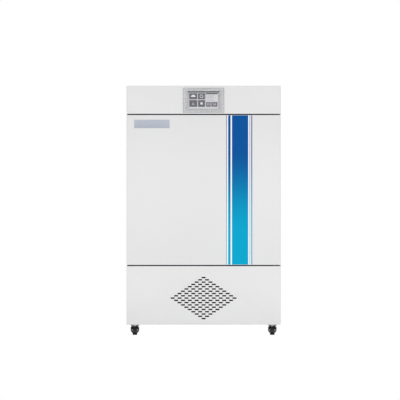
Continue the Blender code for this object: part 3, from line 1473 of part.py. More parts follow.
# Cooling unit in the machine bay
CONDENSER_HALF_WIDTH = 0.150
CONDENSER_HEIGHT = 0.210
CONDENSER_DEPTH = 0.040
CONDENSER_BEHIND_PANEL = 0.030
CONDENSER_FINS = 20
CONDENSER_WEB = 0.006
CONDENSER_END_PLATE = 0.002
COOLING_FAN_RADIUS = 0.085
COOLING_FAN_BLADES = 5
COOLING_FAN_HUB = 0.022
COOLING_BLADE_PITCH = 25.0
COOLING_FAN_BEHIND = 0.020
COOLING_MOTOR_RADIUS = 0.028
COOLING_MOTOR_LENGTH = 0.050
COOLING_MOTOR_FOOT = 0.050
COMPRESSOR_RADIUS = 0.072
COMPRESSOR_HEIGHT = 0.175
COMPRESSOR_X = -0.220
COMPRESSOR_FROM_BACK = 0.150
COMPRESSOR_FOOT = 0.190
COMPRESSOR_SEAM = 0.004
COMPRESSOR_FOOT_PLATE = 0.003
TERMINAL_COVER_WIDTH = 0.050
SUCTION_STUB_RADIUS = 0.005
CONDENSER_Z = FLOOR_PAN_Z + SEAT
CONDENSER_FRONT_Y = FRONT_Y + SHEET + CONDENSER_BEHIND_PANEL
FAN_AXIS_Z = CONDENSER_Z + CONDENSER_HEIGHT / 2


def build_condenser():
    """The finned condenser that stands behind the front grille, on the floor pan."""
    pitch = (2 * CONDENSER_HALF_WIDTH - 2 * CONDENSER_END_PLATE) / CONDENSER_FINS
    left = -CONDENSER_HALF_WIDTH + CONDENSER_END_PLATE
    points = [(-CONDENSER_HALF_WIDTH, 0), (-CONDENSER_HALF_WIDTH, -CONDENSER_DEPTH)]
    for fin in range(CONDENSER_FINS):
        start = left + fin * pitch
        points += [
            (start, -CONDENSER_DEPTH),
            (start, -CONDENSER_WEB),
            (start + pitch - CONDENSER_END_PLATE, -CONDENSER_WEB),
            (start + pitch - CONDENSER_END_PLATE, -CONDENSER_DEPTH),
        ]
    points += [(CONDENSER_HALF_WIDTH, -CONDENSER_DEPTH), (CONDENSER_HALF_WIDTH, 0)]
    back = CONDENSER_FRONT_Y + CONDENSER_DEPTH
    outline("condenser", list(reversed(points)), CONDENSER_HEIGHT, (0, back, FAN_AXIS_Z), UP, ALUMINIUM)


def build_cooling_fan():
    """The axial fan that draws air through the condenser."""
    back = CONDENSER_FRONT_Y + CONDENSER_DEPTH + COOLING_FAN_BEHIND
    profile = [
        (0, COOLING_FAN_HUB),
        (COOLING_FAN_HUB * 0.8, COOLING_FAN_HUB),
        (COOLING_FAN_HUB, COOLING_FAN_HUB * 0.8),
        (COOLING_FAN_HUB, 0),
        (SHAFT_RADIUS + SEAT, 0),
        (SHAFT_RADIUS + SEAT, COOLING_FAN_HUB / 2),
        (0, COOLING_FAN_HUB / 2),
    ]
    place = (0, back + COOLING_FAN_HUB, FAN_AXIS_Z)
    fan = turned("condenser_fan", profile, place, FRONT, 16, BLACK_PLASTIC)
    bm = bmesh.new()
    length = COOLING_FAN_RADIUS - COOLING_FAN_HUB * 0.8
    for index in range(COOLING_FAN_BLADES):
        turn = Matrix.Rotation(2 * math.pi * index / COOLING_FAN_BLADES, 4, "Z")
        out = Matrix.Translation((COOLING_FAN_RADIUS - length / 2, 0, COOLING_FAN_HUB / 2))
        pitch = Matrix.Rotation(math.radians(COOLING_BLADE_PITCH), 4, "X")
        size = Matrix.Diagonal((length, length * 0.55, FAN_PLATE, 1.0))
        bmesh.ops.create_cube(bm, size=1.0, matrix=turn @ out @ pitch @ size)
    blades = bm_cutter(bm, "cooling_blades", FRONT)
    blades.location = place
    join(fan, blades)
    hang(joint("condenser_fan_axis", place), fan)


def build_cooling_fan_motor():
    """The condenser fan's motor on its pedestal, with the spindle that the fan turns on."""
    front = CONDENSER_FRONT_Y + CONDENSER_DEPTH + COOLING_FAN_BEHIND + COOLING_FAN_HUB + SEAT
    spindle = COOLING_FAN_HUB / 2 - SEAT
    profile = [
        (0, spindle),
        (SHAFT_RADIUS, spindle),
        (SHAFT_RADIUS, 0),
        (COOLING_MOTOR_RADIUS * 0.8, 0),
        (COOLING_MOTOR_RADIUS, -COOLING_MOTOR_LENGTH * 0.1),
        (COOLING_MOTOR_RADIUS, -COOLING_MOTOR_LENGTH),
        (0, -COOLING_MOTOR_LENGTH),
    ]
    motor = turned("condenser_fan_motor", profile, (0, front, FAN_AXIS_Z), FRONT, 16, BLACK_ENAMEL)
    half = COOLING_MOTOR_FOOT / 2
    middle_y = front + COOLING_MOTOR_LENGTH / 2
    post = box(
        "motor_post",
        (-half / 2, middle_y - half / 3, FLOOR_PAN_Z + SEAT + BASE_SHEET / 2),
        (half / 2, middle_y + half / 3, FAN_AXIS_Z - COOLING_MOTOR_RADIUS / 2),
        helper=True,
    )
    foot = box(
        "motor_foot",
        (-half, middle_y - half / 2, FLOOR_PAN_Z + SEAT),
        (half, middle_y + half / 2, FLOOR_PAN_Z + SEAT + BASE_SHEET),
        helper=True,
    )
    join(motor, post, foot)


def build_compressor():
    """The hermetic compressor on its foot plate."""
    y = CASE_BACK_Y - COMPRESSOR_FROM_BACK
    base = FLOOR_PAN_Z + SEAT
    height, radius = COMPRESSOR_HEIGHT, COMPRESSOR_RADIUS
    seam = height * 0.55
    profile = [
        (0, height),
        (radius * 0.55, height * 0.97),
        (radius * 0.88, height * 0.86),
        (radius * 0.97, height * 0.72),
        (radius * 0.97, seam + COMPRESSOR_SEAM),
        (radius * 1.05, seam + COMPRESSOR_SEAM),
        (radius * 1.05, seam),
        (radius, seam),
        (radius, height * 0.2),
        (radius * 0.85, height * 0.09),
        (0, height * 0.09),
    ]
    pot = turned("compressor", profile, (COMPRESSOR_X, y, base), UP, 20, BLACK_ENAMEL)
    half = COMPRESSOR_FOOT / 2
    plate = box(
        "compressor_foot",
        (COMPRESSOR_X - half, y - half * 0.7, base),
        (COMPRESSOR_X + half, y + half * 0.7, base + COMPRESSOR_FOOT_PLATE),
        helper=True,
    )
    stand_low = (COMPRESSOR_X, y, base + COMPRESSOR_FOOT_PLATE / 2)
    stand = rod("compressor_stand", radius * 0.6, height * 0.12, stand_low, sides=16, helper=True)
    terminals = box(
        "terminal_cover",
        (COMPRESSOR_X + radius * 0.8, y - TERMINAL_COVER_WIDTH / 2, base + height * 0.3),
        (COMPRESSOR_X + radius * 1.35, y + TERMINAL_COVER_WIDTH / 2, base + height * 0.65),
        helper=True,
    )
    stub_start = (COMPRESSOR_X, y - radius * 0.9, base + height * 0.4)
    stub = rod("suction_stub", SUCTION_STUB_RADIUS, radius * 0.5, stub_start, FRONT, 10, helper=True)
    join(pot, stand, plate, terminals, stub)


# Casters
CASTER_INSET_X = 0.041
CASTER_INSET_Y = 0.048
CASTER_PLATE_X = 0.044
CASTER_PLATE_Y = 0.052
CASTER_PLATE = 0.0025
CASTER_PLATE_CORNER = 0.004
CASTER_BOLT_X = 0.015
CASTER_BOLT_Y = 0.0195
CASTER_BOLT_RADIUS = 0.0042
CASTER_BOLT_HEAD = 0.003
WHEEL_RADIUS = 0.018
WHEEL_WIDTH = 0.023
WHEEL_FACETS = 20
TRAIL = 0.014
AXLE_RADIUS = 0.003
AXLE_PLAY = 0.0004
FORK_GAP = 0.0015
FORK_SHEET = 0.002
CROWN_RADIUS = 0.0175
CROWN_ABOVE_WHEEL = 0.0015
CROWN_SHEET = 0.0025
RACE_RADIUS = 0.0185
RACE_WALL = 0.0025
RACE_PLAY = 0.0008
BOSS_PLAY = 0.0018
KINGPIN_RADIUS = 0.0035
KINGPIN_HEAD_RADIUS = 0.0055
KINGPIN_HEAD = 0.0018
LEG_HALF_WIDTH = 0.007
PEDAL_PIVOT_OUT = 0.020
PEDAL_PIVOT_RADIUS = 0.0015
PEDAL_LUG_RADIUS = 0.0035
PEDAL_WIDTH = 0.042
PEDAL_SHEET = 0.002
# Side outlines from the pedal's pin, counted outwards and up: the tread's top line, its cheek and its ear
PEDAL_TREAD = ((0.004, 0.0025), (0.012, 0.0), (0.021, -0.0075))
PEDAL_CHEEK = ((0.009, -0.006), (0.012, -0.0005), (0.004, 0.0020))
PEDAL_EAR = (
    (0.004, 0.0020),
    (0.006, -0.0100),
    (0.011, -0.0170),
    (0.017, -0.0180),
    (0.0205, -0.0080),
    (0.012, -0.0005),
)
WHEEL_TOP_Z = 2 * WHEEL_RADIUS
CROWN_LOW_Z = WHEEL_TOP_Z + CROWN_ABOVE_WHEEL
CROWN_TOP_Z = CROWN_LOW_Z + CROWN_SHEET
PLATE_TOP_Z = BASE_Z - SEAT
PLATE_LOW_Z = PLATE_TOP_Z - CASTER_PLATE
PEDAL_PIVOT_Z = CROWN_TOP_Z - PEDAL_LUG_RADIUS + SEAT


def build_caster_plate(name, x, y):
    """The top plate with its bolts, the upper race and the kingpin."""
    half_x, half_y = CASTER_PLATE_X / 2, CASTER_PLATE_Y / 2
    plate = box(
        "caster_plate_" + name,
        (x - half_x, y - half_y, PLATE_LOW_Z),
        (x + half_x, y + half_y, PLATE_TOP_Z),
        ZINC,
        rounded=[(a, b, CASTER_PLATE_CORNER) for a in ("-X", "+X") for b in ("-Y", "+Y")],
        segments=1,
    )
    root_z = PLATE_TOP_Z - CASTER_PLATE / 2
    race_low = CROWN_TOP_Z + RACE_PLAY
    race_profile = [
        (RACE_RADIUS, root_z - race_low),
        (RACE_RADIUS, 0),
        (RACE_RADIUS - RACE_WALL, 0),
        (RACE_RADIUS - RACE_WALL, root_z - race_low),
    ]
    race = turned("upper_race_" + name, race_profile, (x, y, race_low), UP, 14, helper=True)
    head_low = CROWN_LOW_Z - RACE_PLAY - KINGPIN_HEAD
    kingpin_profile = [
        (0, root_z - head_low),
        (KINGPIN_RADIUS, root_z - head_low),
        (KINGPIN_RADIUS, KINGPIN_HEAD),
        (KINGPIN_HEAD_RADIUS, KINGPIN_HEAD),
        (KINGPIN_HEAD_RADIUS * 0.8, 0),
        (0, 0),
    ]
    kingpin = turned("kingpin_" + name, kingpin_profile, (x, y, head_low), UP, 10, helper=True)
    bm = bmesh.new()
    depth = CASTER_BOLT_HEAD + CASTER_PLATE / 2
    for bolt_x in (-CASTER_BOLT_X, CASTER_BOLT_X):
        for bolt_y in (-CASTER_BOLT_Y, CASTER_BOLT_Y):
            bmesh.ops.create_cone(
                bm,
                cap_ends=True,
                segments=6,
                radius1=CASTER_BOLT_RADIUS,
                radius2=CASTER_BOLT_RADIUS,
                depth=depth,
                matrix=Matrix.Translation((bolt_x, bolt_y, 0)),
            )
    bolts = bm_cutter(bm, "bolts_" + name, UP)
    bolts.location = (x, y, root_z - depth / 2)
    join(plate, race, kingpin, bolts)


def leg_points(way, braked):
    """Side outline of a fork leg: the crown's side, a lug for the pedal's pin, the round axle end."""
    axle_y = way * TRAIL
    bottom = []
    for step in range(5):
        angle = math.pi * step / 4
        y = axle_y + LEG_HALF_WIDTH * math.cos(angle)
        bottom.append((y, WHEEL_RADIUS - LEG_HALF_WIDTH * math.sin(angle)))
    if way < 0:
        bottom = [(2 * axle_y - y, z) for y, z in bottom]
    inner = (-way * CROWN_RADIUS * 0.6, CROWN_TOP_Z - CROWN_SHEET / 2)
    outer = (way * CROWN_RADIUS * 0.9, CROWN_TOP_Z - CROWN_SHEET / 2)
    points = [inner, outer]
    if braked:
        for step in range(5):
            angle = math.pi / 2 - math.pi * step / 4
            y = way * (PEDAL_PIVOT_OUT + PEDAL_LUG_RADIUS * math.cos(angle))
            points.append((y, PEDAL_PIVOT_Z + PEDAL_LUG_RADIUS * math.sin(angle)))
    return points + bottom


def build_fork(name, x, y, way, braked):
    """The swivelling fork: crown, boss, two legs, the axle bolt and, if braked, the pedal's pin."""
    boss_radius = RACE_RADIUS - RACE_WALL - BOSS_PLAY
    boss_top = PLATE_LOW_Z - RACE_PLAY
    bore = KINGPIN_RADIUS + RACE_PLAY
    profile = [
        (boss_radius, boss_top - CROWN_LOW_Z),
        (boss_radius, CROWN_SHEET),
        (CROWN_RADIUS, CROWN_SHEET),
        (CROWN_RADIUS, 0),
        (bore, 0),
        (bore, boss_top - CROWN_LOW_Z),
    ]
    fork = turned("caster_fork_" + name, profile, (x, y, CROWN_LOW_Z), UP, 14, BLACK_ENAMEL)
    leg_x = WHEEL_WIDTH / 2 + FORK_GAP + FORK_SHEET / 2
    shape = leg_points(way, braked)
    legs = []
    for side in (-1, 1):
        place = (x + side * leg_x, y, 0)
        legs.append(outline(f"leg_{name}_{side}", shape, FORK_SHEET, place, RIGHT, helper=True))
    reach = leg_x + FORK_SHEET / 2
    axle_profile = [
        (0, reach + CASTER_BOLT_HEAD),
        (CASTER_BOLT_RADIUS, reach + CASTER_BOLT_HEAD),
        (CASTER_BOLT_RADIUS, reach - FORK_SHEET / 2),
        (AXLE_RADIUS, reach - FORK_SHEET / 2),
        (AXLE_RADIUS, FORK_SHEET / 2 - reach),
        (CASTER_BOLT_RADIUS, FORK_SHEET / 2 - reach),
        (CASTER_BOLT_RADIUS, -reach - CASTER_BOLT_HEAD),
        (0, -reach - CASTER_BOLT_HEAD),
    ]
    axle = turned("axle_" + name, axle_profile, (x, y + way * TRAIL, WHEEL_RADIUS), RIGHT, 8, helper=True)
    join(fork, *legs, axle)
    if braked:
        pin_reach = reach + 2 * PEDAL_SHEET
        pin_start = (x - pin_reach, y + way * PEDAL_PIVOT_OUT, PEDAL_PIVOT_Z)
        radius, length = PEDAL_PIVOT_RADIUS, 2 * pin_reach
        join(fork, rod("pedal_pin_" + name, radius, length, pin_start, RIGHT, 8, helper=True))
    return fork


def build_wheel(name, x, y, way):
    """The rubber-tyred wheel, its facets set flat on the floor."""
    half = WHEEL_WIDTH / 2
    radius = WHEEL_RADIUS
    bore = AXLE_RADIUS + AXLE_PLAY
    profile = [
        (radius * 0.88, half),
        (radius, half * 0.6),
        (radius, -half * 0.6),
        (radius * 0.88, -half),
        (radius * 0.64, -half),
        (radius * 0.60, -half * 0.55),
        (bore, -half * 0.75),
        (bore, half * 0.75),
        (radius * 0.60, half * 0.55),
        (radius * 0.64, half),
    ]
    place = (x, y + way * TRAIL, WHEEL_RADIUS)
    return turned("caster_wheel_" + name, profile, place, RIGHT, WHEEL_FACETS, RUBBER, flat_down=True)


def build_pedal(name, x, y, way):
    """The brake pedal: a bent tread on two cheeks that turn on the fork's pin."""
    pivot = (x, y + way * PEDAL_PIVOT_OUT, PEDAL_PIVOT_Z)
    sheet = PEDAL_SHEET
    tread = [(way * out, up) for out, up in PEDAL_TREAD]
    tread += [(way * out, up - sheet) for out, up in reversed(PEDAL_TREAD)]
    pedal = outline("brake_pedal_" + name, tread, PEDAL_WIDTH, pivot, RIGHT, BLACK_PLASTIC)
    cheek = []
    for step in range(5):
        angle = math.pi * (0.5 + step / 4)
        cheek.append((way * PEDAL_LUG_RADIUS * math.cos(angle), PEDAL_LUG_RADIUS * math.sin(angle)))
    cheek += [(way * out, up) for out, up in PEDAL_CHEEK]
    ear = [(way * out, up) for out, up in PEDAL_EAR]
    fork_reach = WHEEL_WIDTH / 2 + FORK_GAP + FORK_SHEET
    cheek_x = fork_reach + SEAT + sheet / 2
    ear_x = PEDAL_WIDTH / 2 - sheet
    added = []
    for side in (-1, 1):
        where = (x + side * cheek_x, pivot[1], pivot[2])
        added.append(outline(f"cheek_{name}_{side}", cheek, sheet, where, RIGHT, helper=True))
        where = (x + side * ear_x, pivot[1], pivot[2])
        added.append(outline(f"ear_{name}_{side}", ear, sheet, where, RIGHT, helper=True))
    join(pedal, *added)
    radius, length = PEDAL_PIVOT_RADIUS + SEAT, 2 * PEDAL_WIDTH
    hole_start = (x - PEDAL_WIDTH, pivot[1], pivot[2])
    return cut(pedal, rod("pedal_hole_" + name, radius, length, hole_start, RIGHT, 8, helper=True))


def build_casters():
    """Four swivel casters, the front two with brakes."""
    front_y = FRONT_Y + CASTER_INSET_Y
    back_y = CASE_BACK_Y - CASTER_INSET_Y
    for name, side, y, way, braked in (
        ("front_left", -1, front_y, -1, True),
        ("front_right", 1, front_y, -1, True),
        ("rear_left", -1, back_y, 1, False),
        ("rear_right", 1, back_y, 1, False),
    ):
        x = side * (HALF_WIDTH - CASTER_INSET_X)
        build_caster_plate(name, x, y)
        swivel = joint("swivel_" + name, (x, y, CROWN_LOW_Z))
        fork = build_fork(name, x, y, way, braked)
        hang(swivel, fork)
        spin = joint("wheel_axis_" + name, (x, y + way * TRAIL, WHEEL_RADIUS))
        hang(spin, build_wheel(name, x, y, way))
        hang(swivel, spin)
        if braked:
            lever = joint("pedal_axis_" + name, (x, y + way * PEDAL_PIVOT_OUT, PEDAL_PIVOT_Z))
            hang(lever, build_pedal(name, x, y, way))
            hang(swivel, lever)


def shade_round_pieces():
    """Smooths the meshes, keeping folded and cut edges sharp."""
    for thing in PIECES.objects:
        if thing.type == "MESH":
            thing.data.shade_smooth()
            thing.data.set_sharp_from_angle(angle=math.radians(35))


build_outer_case()
build_rear_panel()
build_base_frame()
build_machine_deck()
build_electrical_tray()
build_door_surround()
build_insulation()
build_chamber_liner()
build_chamber_back()
build_port_plug()
build_inner_seal()
build_lower_front_panel()
build_fascia()
build_display()
build_door_hinges()
build_door()
build_glass_door()
build_racks()
build_shelves()
build_water_pan()
build_air_plenum()
build_circulation_fan()
build_fan_motor()
build_gas_valve()
build_gas_tube()
build_sensor()
build_power_supply()
build_power_inlet()
build_power_switch()
build_condenser()
build_cooling_fan()
build_cooling_fan_motor()
build_compressor()
build_casters()
shade_round_pieces()
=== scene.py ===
import math

import bmesh
import bpy
from mathutils import Matrix, Vector


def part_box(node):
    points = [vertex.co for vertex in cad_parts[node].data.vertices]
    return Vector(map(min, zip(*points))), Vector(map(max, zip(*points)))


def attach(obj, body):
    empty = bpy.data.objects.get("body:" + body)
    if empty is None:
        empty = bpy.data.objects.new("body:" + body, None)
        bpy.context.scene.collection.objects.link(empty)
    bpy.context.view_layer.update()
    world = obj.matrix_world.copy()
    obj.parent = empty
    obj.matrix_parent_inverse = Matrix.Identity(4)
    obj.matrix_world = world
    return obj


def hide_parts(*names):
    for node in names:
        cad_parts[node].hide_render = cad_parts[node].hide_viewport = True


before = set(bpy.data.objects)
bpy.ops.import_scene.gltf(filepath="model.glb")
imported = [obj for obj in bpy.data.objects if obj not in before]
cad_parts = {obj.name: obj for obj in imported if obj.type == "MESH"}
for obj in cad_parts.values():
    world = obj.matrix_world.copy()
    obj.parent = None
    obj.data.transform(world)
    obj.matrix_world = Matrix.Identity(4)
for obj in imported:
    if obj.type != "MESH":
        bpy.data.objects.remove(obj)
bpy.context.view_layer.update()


# The studio. A long lens looks straight at the front, as in the photograph, over a pale paper floor. Two wide
# lamps behind grids stand left and right of the lens, where no flat front mirrors them, a third lights the
# top and the back, and the room fills in the rest, so that a colour shows about as it is written.
def linear(hex_colour):
    """The linear colour that a shader reads, from an sRGB hex value."""
    channels = [int(hex_colour[place:place + 2], 16) / 255 for place in (1, 3, 5)]
    return (*[c / 12.92 if c <= 0.04045 else ((c + 0.055) / 1.055) ** 2.4 for c in channels], 1.0)


def add_node(owner, kind, inputs=None, **settings):
    """Adds a node to a material or the world. An input is a value, or (node, output) to join it to."""
    node = owner.node_tree.nodes.new(kind)
    for name, value in settings.items():
        setattr(node, name, value)
    for name, value in (inputs or {}).items():
        if isinstance(value, tuple) and isinstance(value[0], bpy.types.Node):
            owner.node_tree.links.new(value[0].outputs[value[1]], node.inputs[name])
        else:
            node.inputs[name].default_value = value
    return node


def start_material(name):
    """An empty material, and the output that gives its object's coordinates in metres."""
    made = bpy.data.materials.new(name)
    made.use_nodes = True
    made.node_tree.nodes.clear()
    return made, (add_node(made, "ShaderNodeTexCoord"), "Object")


def end_material(made, **inputs):
    """Closes a material with its Principled shader; an underscore in an input's name stands for a space."""
    named = {name.replace("_", " "): value for name, value in inputs.items()}
    shader = add_node(made, "ShaderNodeBsdfPrincipled", named)
    add_node(made, "ShaderNodeOutputMaterial", {"Surface": (shader, "BSDF")})


def grained(name, dark, light, scale, detail=None, bump=None, **inputs):
    """A finish in two near shades of one grain: noise of some detail, or cells where none is given.

    Where the grain stands out, bump is its strength and its height in metres."""
    made, spot = start_material(name)
    if detail is None:
        grain = (add_node(made, "ShaderNodeTexVoronoi", {"Vector": spot, "Scale": scale}), "Distance")
    else:
        grain = (add_node(made, "ShaderNodeTexNoise", {"Vector": spot, "Scale": scale, "Detail": detail}), 0)
    mixed = add_node(made, "ShaderNodeMix", {0: grain, 6: linear(dark), 7: linear(light)}, data_type="RGBA")
    if bump:
        raised = add_node(made, "ShaderNodeBump", {"Height": grain, "Strength": bump[0], "Distance": bump[1]})
        inputs["Normal"] = (raised, 0)
    end_material(made, Base_Color=(mixed, 2), **inputs)
    return made


# The photograph is 400 pixels wide, and one pixel covers 4.935 mm of the object.
photo_width, pixel_size = 400, 0.004935
lens_x, lens_y, lens_z = -0.0178, -6.0, 0.666
bpy.ops.object.select_all(action="DESELECT")
bpy.ops.object.camera_add(location=(lens_x, lens_y, lens_z), rotation=(math.radians(90), 0, 0))
camera = bpy.context.object
camera.name = "front_camera"
camera.data.type = "ORTHO"
camera.data.ortho_scale = photo_width * pixel_size
bpy.context.scene.camera = camera
bpy.context.scene.view_settings.view_transform = "Standard"

lamp_aim = Vector((0, 0, 0.65))
grid_angle = math.radians(70)
for lamp_name, lamp_place, lamp_width, lamp_height, lamp_power in (
    ("left_softbox", (-2.7, lens_y, 0.85), 3.0, 1.6, 15.3),
    ("right_softbox", (2.9, lens_y, 0.85), 3.0, 1.6, 16.1),
    ("back_softbox", (0.6, 4.0, 3.4), 2.5, 2.5, 12),
):
    bpy.ops.object.light_add(type="AREA", location=lamp_place)
    lamp = bpy.context.object
    lamp.name = lamp_name
    lamp.data.shape = "RECTANGLE"
    lamp.data.size = lamp_width
    lamp.data.size_y = lamp_height
    lamp.data.spread = grid_angle
    lamp.data.energy = lamp_power
    lamp.rotation_euler = (lamp_aim - Vector(lamp_place)).to_track_quat("-Z", "Y").to_euler()

# The room is white where it is seen, mirrored or looked at through the glass, and gives half as much light.
room = bpy.data.worlds.new("white_room")
bpy.context.scene.world = room
room.use_nodes = True
room.node_tree.nodes.clear()
ray = add_node(room, "ShaderNodeLightPath")
seen = add_node(
    room, "ShaderNodeMath", {0: (ray, "Is Camera Ray"), 1: (ray, "Is Glossy Ray")}, operation="ADD"
)
seen = add_node(
    room, "ShaderNodeMath", {0: (seen, 0), 1: (ray, "Is Transmission Ray")}, operation="ADD", use_clamp=True
)
strength = add_node(room, "ShaderNodeMapRange", {"Value": (seen, 0), "To Min": 0.50, "To Max": 1.0})
walls = add_node(room, "ShaderNodeBackground", {"Color": (1, 1, 1, 1), "Strength": (strength, 0)})
add_node(room, "ShaderNodeOutputWorld", {"Surface": (walls, 0)})

# Matt background paper: a faint fibre tone keeps it from looking like a flat fill.
paper = grained("background_paper", "#F8F8F8", "#FCFCFC", 40.0, detail=4.0, Roughness=0.95)
bpy.ops.mesh.primitive_plane_add(size=60.0, location=(0, 0, 0))
floor = bpy.context.object
floor.name = "paper_floor"
floor.data.materials.append(paper)


# The shell: case, back, door surround, control fascia, lower panel and door are folded sheet steel of
# 1.2 mm, powder coated white after welding. The sheets keep their CAD forms; the three front panels are
# copied so that their bent edges get the small radius of a fold.
def paint_nodes(material, *names):
    """Gives CAD nodes a material."""
    for name in names:
        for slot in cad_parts[name].material_slots:
            slot.material = material


def edit(piece):
    """Puts one piece alone in edit mode, with nothing selected."""
    bpy.ops.object.select_all(action="DESELECT")
    piece.select_set(True)
    bpy.context.view_layer.objects.active = piece
    bpy.ops.object.mode_set(mode="EDIT")
    bpy.ops.mesh.select_mode(type="FACE")
    bpy.ops.mesh.select_all(action="DESELECT")


def copy_of(node_name, piece_name):
    """A copy of a CAD node as a piece: its loose triangles are merged and its flat faces made whole."""
    piece = bpy.data.objects.new(piece_name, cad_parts[node_name].data.copy())
    bpy.context.collection.objects.link(piece)
    edit(piece)
    bpy.ops.mesh.customdata_custom_splitnormals_clear()
    bpy.ops.mesh.select_all(action="SELECT")
    bpy.ops.mesh.remove_doubles(threshold=0.00001)
    bpy.ops.mesh.dissolve_limited(angle_limit=math.radians(0.5))
    bpy.ops.mesh.select_all(action="DESELECT")
    bpy.ops.object.mode_set(mode="OBJECT")
    return piece


def pick_edges(piece, wanted, least_turn=math.radians(40)):
    """Selects, in edit mode, the edges that turn by at least some angle and whose ends are wanted."""
    bpy.ops.mesh.select_mode(type="EDGE")
    bpy.ops.mesh.select_all(action="DESELECT")
    mesh = bmesh.from_edit_mesh(piece.data)
    for edge in mesh.edges:
        turns = len(edge.link_faces) == 2 and edge.calc_face_angle(0.0) > least_turn
        if turns and wanted(edge.verts[0].co, edge.verts[1].co):
            edge.select_set(True)
    bmesh.update_edit_mesh(piece.data)


def soften(piece, radius, wanted, segments=3):
    """Rounds the chosen edges of a piece."""
    edit(piece)
    pick_edges(piece, wanted)
    bpy.ops.mesh.bevel(offset=radius, segments=segments, profile=0.5, affect="EDGES", clamp_overlap=False)
    bpy.ops.object.mode_set(mode="OBJECT")


def settle(piece, material, body, *nodes, smooth=30):
    """Gives a finished piece its material and body, and says which CAD nodes it stands for."""
    piece.data.materials.clear()
    piece.data.materials.append(material)
    bpy.ops.object.select_all(action="DESELECT")
    piece.select_set(True)
    bpy.context.view_layer.objects.active = piece
    bpy.ops.object.shade_smooth_by_angle(angle=math.radians(smooth))
    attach(piece, body)
    if nodes:
        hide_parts(*nodes)


def paint_faces(piece, material, wanted):
    """Gives a settled piece a second material on the faces that are wanted."""
    piece.data.materials.append(material)
    for face in piece.data.polygons:
        face.material_index = int(wanted(face))


# White polyester powder coat: satin, even, with the fine orange peel that the cured powder keeps.
powder_white, where = start_material("powder_coat_white")
peel = add_node(powder_white, "ShaderNodeTexNoise", {"Vector": where, "Scale": 620.0, "Detail": 1.0})
drift = add_node(powder_white, "ShaderNodeTexNoise", {"Vector": where, "Scale": 2.5, "Detail": 2.0})
tone = add_node(
    powder_white,
    "ShaderNodeMix",
    {0: (drift, 0), 6: linear("#E4E4E5"), 7: linear("#E8E8E8")},
    data_type="RGBA",
)
gloss = add_node(powder_white, "ShaderNodeMapRange", {"Value": (drift, 0), "To Min": 0.40, "To Max": 0.48})
bump = add_node(powder_white, "ShaderNodeBump", {"Height": (peel, 0), "Strength": 0.12, "Distance": 0.0002})
end_material(powder_white, Base_Color=(tone, 2), Roughness=(gloss, 0), Normal=(bump, 0))
paint_nodes(powder_white, "outer_case")

fold_radius = 0.0011
for panel_node, panel_body in (
    ("control_fascia", "cabinet"), ("lower_front_panel", "cabinet"), ("door_skin", "door")
):
    panel = copy_of(panel_node, panel_node + "_sheet")
    panel_low, panel_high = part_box(panel_node)
    for end_z in (panel_low.z, panel_high.z):
        soften(
            panel,
            fold_radius,
            lambda a, b: max(abs(a.z - end_z), abs(b.z - end_z)) < 1e-4
            and min(a.y, b.y) < panel_high.y - 5e-4,
        )
    settle(panel, powder_white, panel_body, panel_node)

# The air slots are ringed by a matt black band, 0.9 mm wide and a little proud of the face, which is painted
# shade:
# it makes each slot's dark opening look wider than its cut. The line is drawn 0.9 mm wide, coarser than the
# real one, so that it shows. The slots stand in a diamond, with one slot more in each row up to the widest.
slot_shade_paint = grained("black_painted_slot_shade", "#0A0A0B", "#161618", 400.0, detail=2.0, Roughness=0.75)
grille_low, grille_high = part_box("lower_front_panel")
grille_drop = 0.014
grille_z = (grille_low.z + grille_high.z) / 2 - grille_drop
slot_length, slot_height = 0.0190, 0.0055
slot_pitch, slot_row_pitch, widest_row = 0.0339, 0.01124, 10
rim_width, rim_proud = 0.0009, 0.00008
# A thin layer starts this far inside the face that it lies on.
layer_root = 0.00005


def leave_outline(piece, width):
    """Makes a flat face an outline of some width: it is inset and its middle is taken out."""
    edit(piece)
    bpy.ops.mesh.select_all(action="SELECT")
    bpy.ops.mesh.inset(thickness=width, use_boundary=True)
    bpy.ops.mesh.delete(type="FACE")
    bpy.ops.object.mode_set(mode="OBJECT")


def thicken(piece, push):
    """Makes a flat piece a solid one: all of it is extruded along the push, and its faces turned outwards."""
    edit(piece)
    bpy.ops.mesh.select_all(action="SELECT")
    bpy.ops.mesh.extrude_region_move(TRANSFORM_OT_translate={"value": push})
    bpy.ops.mesh.select_all(action="SELECT")
    bpy.ops.mesh.normals_make_consistent(inside=False)
    bpy.ops.object.mode_set(mode="OBJECT")


# One ring of painted shade is made round the middle slot and copied to every other slot.
rim_sides = 16
bpy.ops.object.select_all(action="DESELECT")
bpy.ops.mesh.primitive_circle_add(
    vertices=rim_sides,
    radius=slot_height / 2 + rim_width,
    fill_type="NGON",
    location=(0, grille_low.y + layer_root, grille_z),
    rotation=(math.radians(90), math.radians(180 / rim_sides), 0),
)
middle_rim = bpy.context.object
bpy.ops.object.transform_apply(location=True, rotation=True, scale=True)
for corner in middle_rim.data.vertices:
    corner.co.x += math.copysign((slot_length - slot_height) / 2, corner.co.x)
leave_outline(middle_rim, rim_width)
thicken(middle_rim, (0, -layer_root - rim_proud, 0))


def copy_piece(piece, name, shift=(0, 0, 0)):
    """A copy of a piece with its own mesh, moved in its mesh."""
    made = piece.copy()
    made.data = piece.data.copy()
    made.name = name
    made.data.transform(Matrix.Translation(shift))
    bpy.context.collection.objects.link(made)
    return made


def join_pieces(pieces, name):
    """Joins pieces to the first of them."""
    bpy.ops.object.select_all(action="DESELECT")
    for piece in pieces:
        piece.select_set(True)
    bpy.context.view_layer.objects.active = pieces[0]
    bpy.ops.object.join()
    pieces[0].name = name
    return pieces[0]


slot_rims = []
for row in range(1 - widest_row, widest_row):
    row_count = widest_row - abs(row)
    for place in range(row_count):
        rim_shift = ((place - (row_count - 1) / 2) * slot_pitch, 0, row * slot_row_pitch)
        slot_rims.append(copy_piece(middle_rim, f"slot_rim_{len(slot_rims) + 1}", rim_shift))
bpy.data.objects.remove(middle_rim)
settle(join_pieces(slot_rims, "grille_slot_shade_rims"), slot_shade_paint, "cabinet")
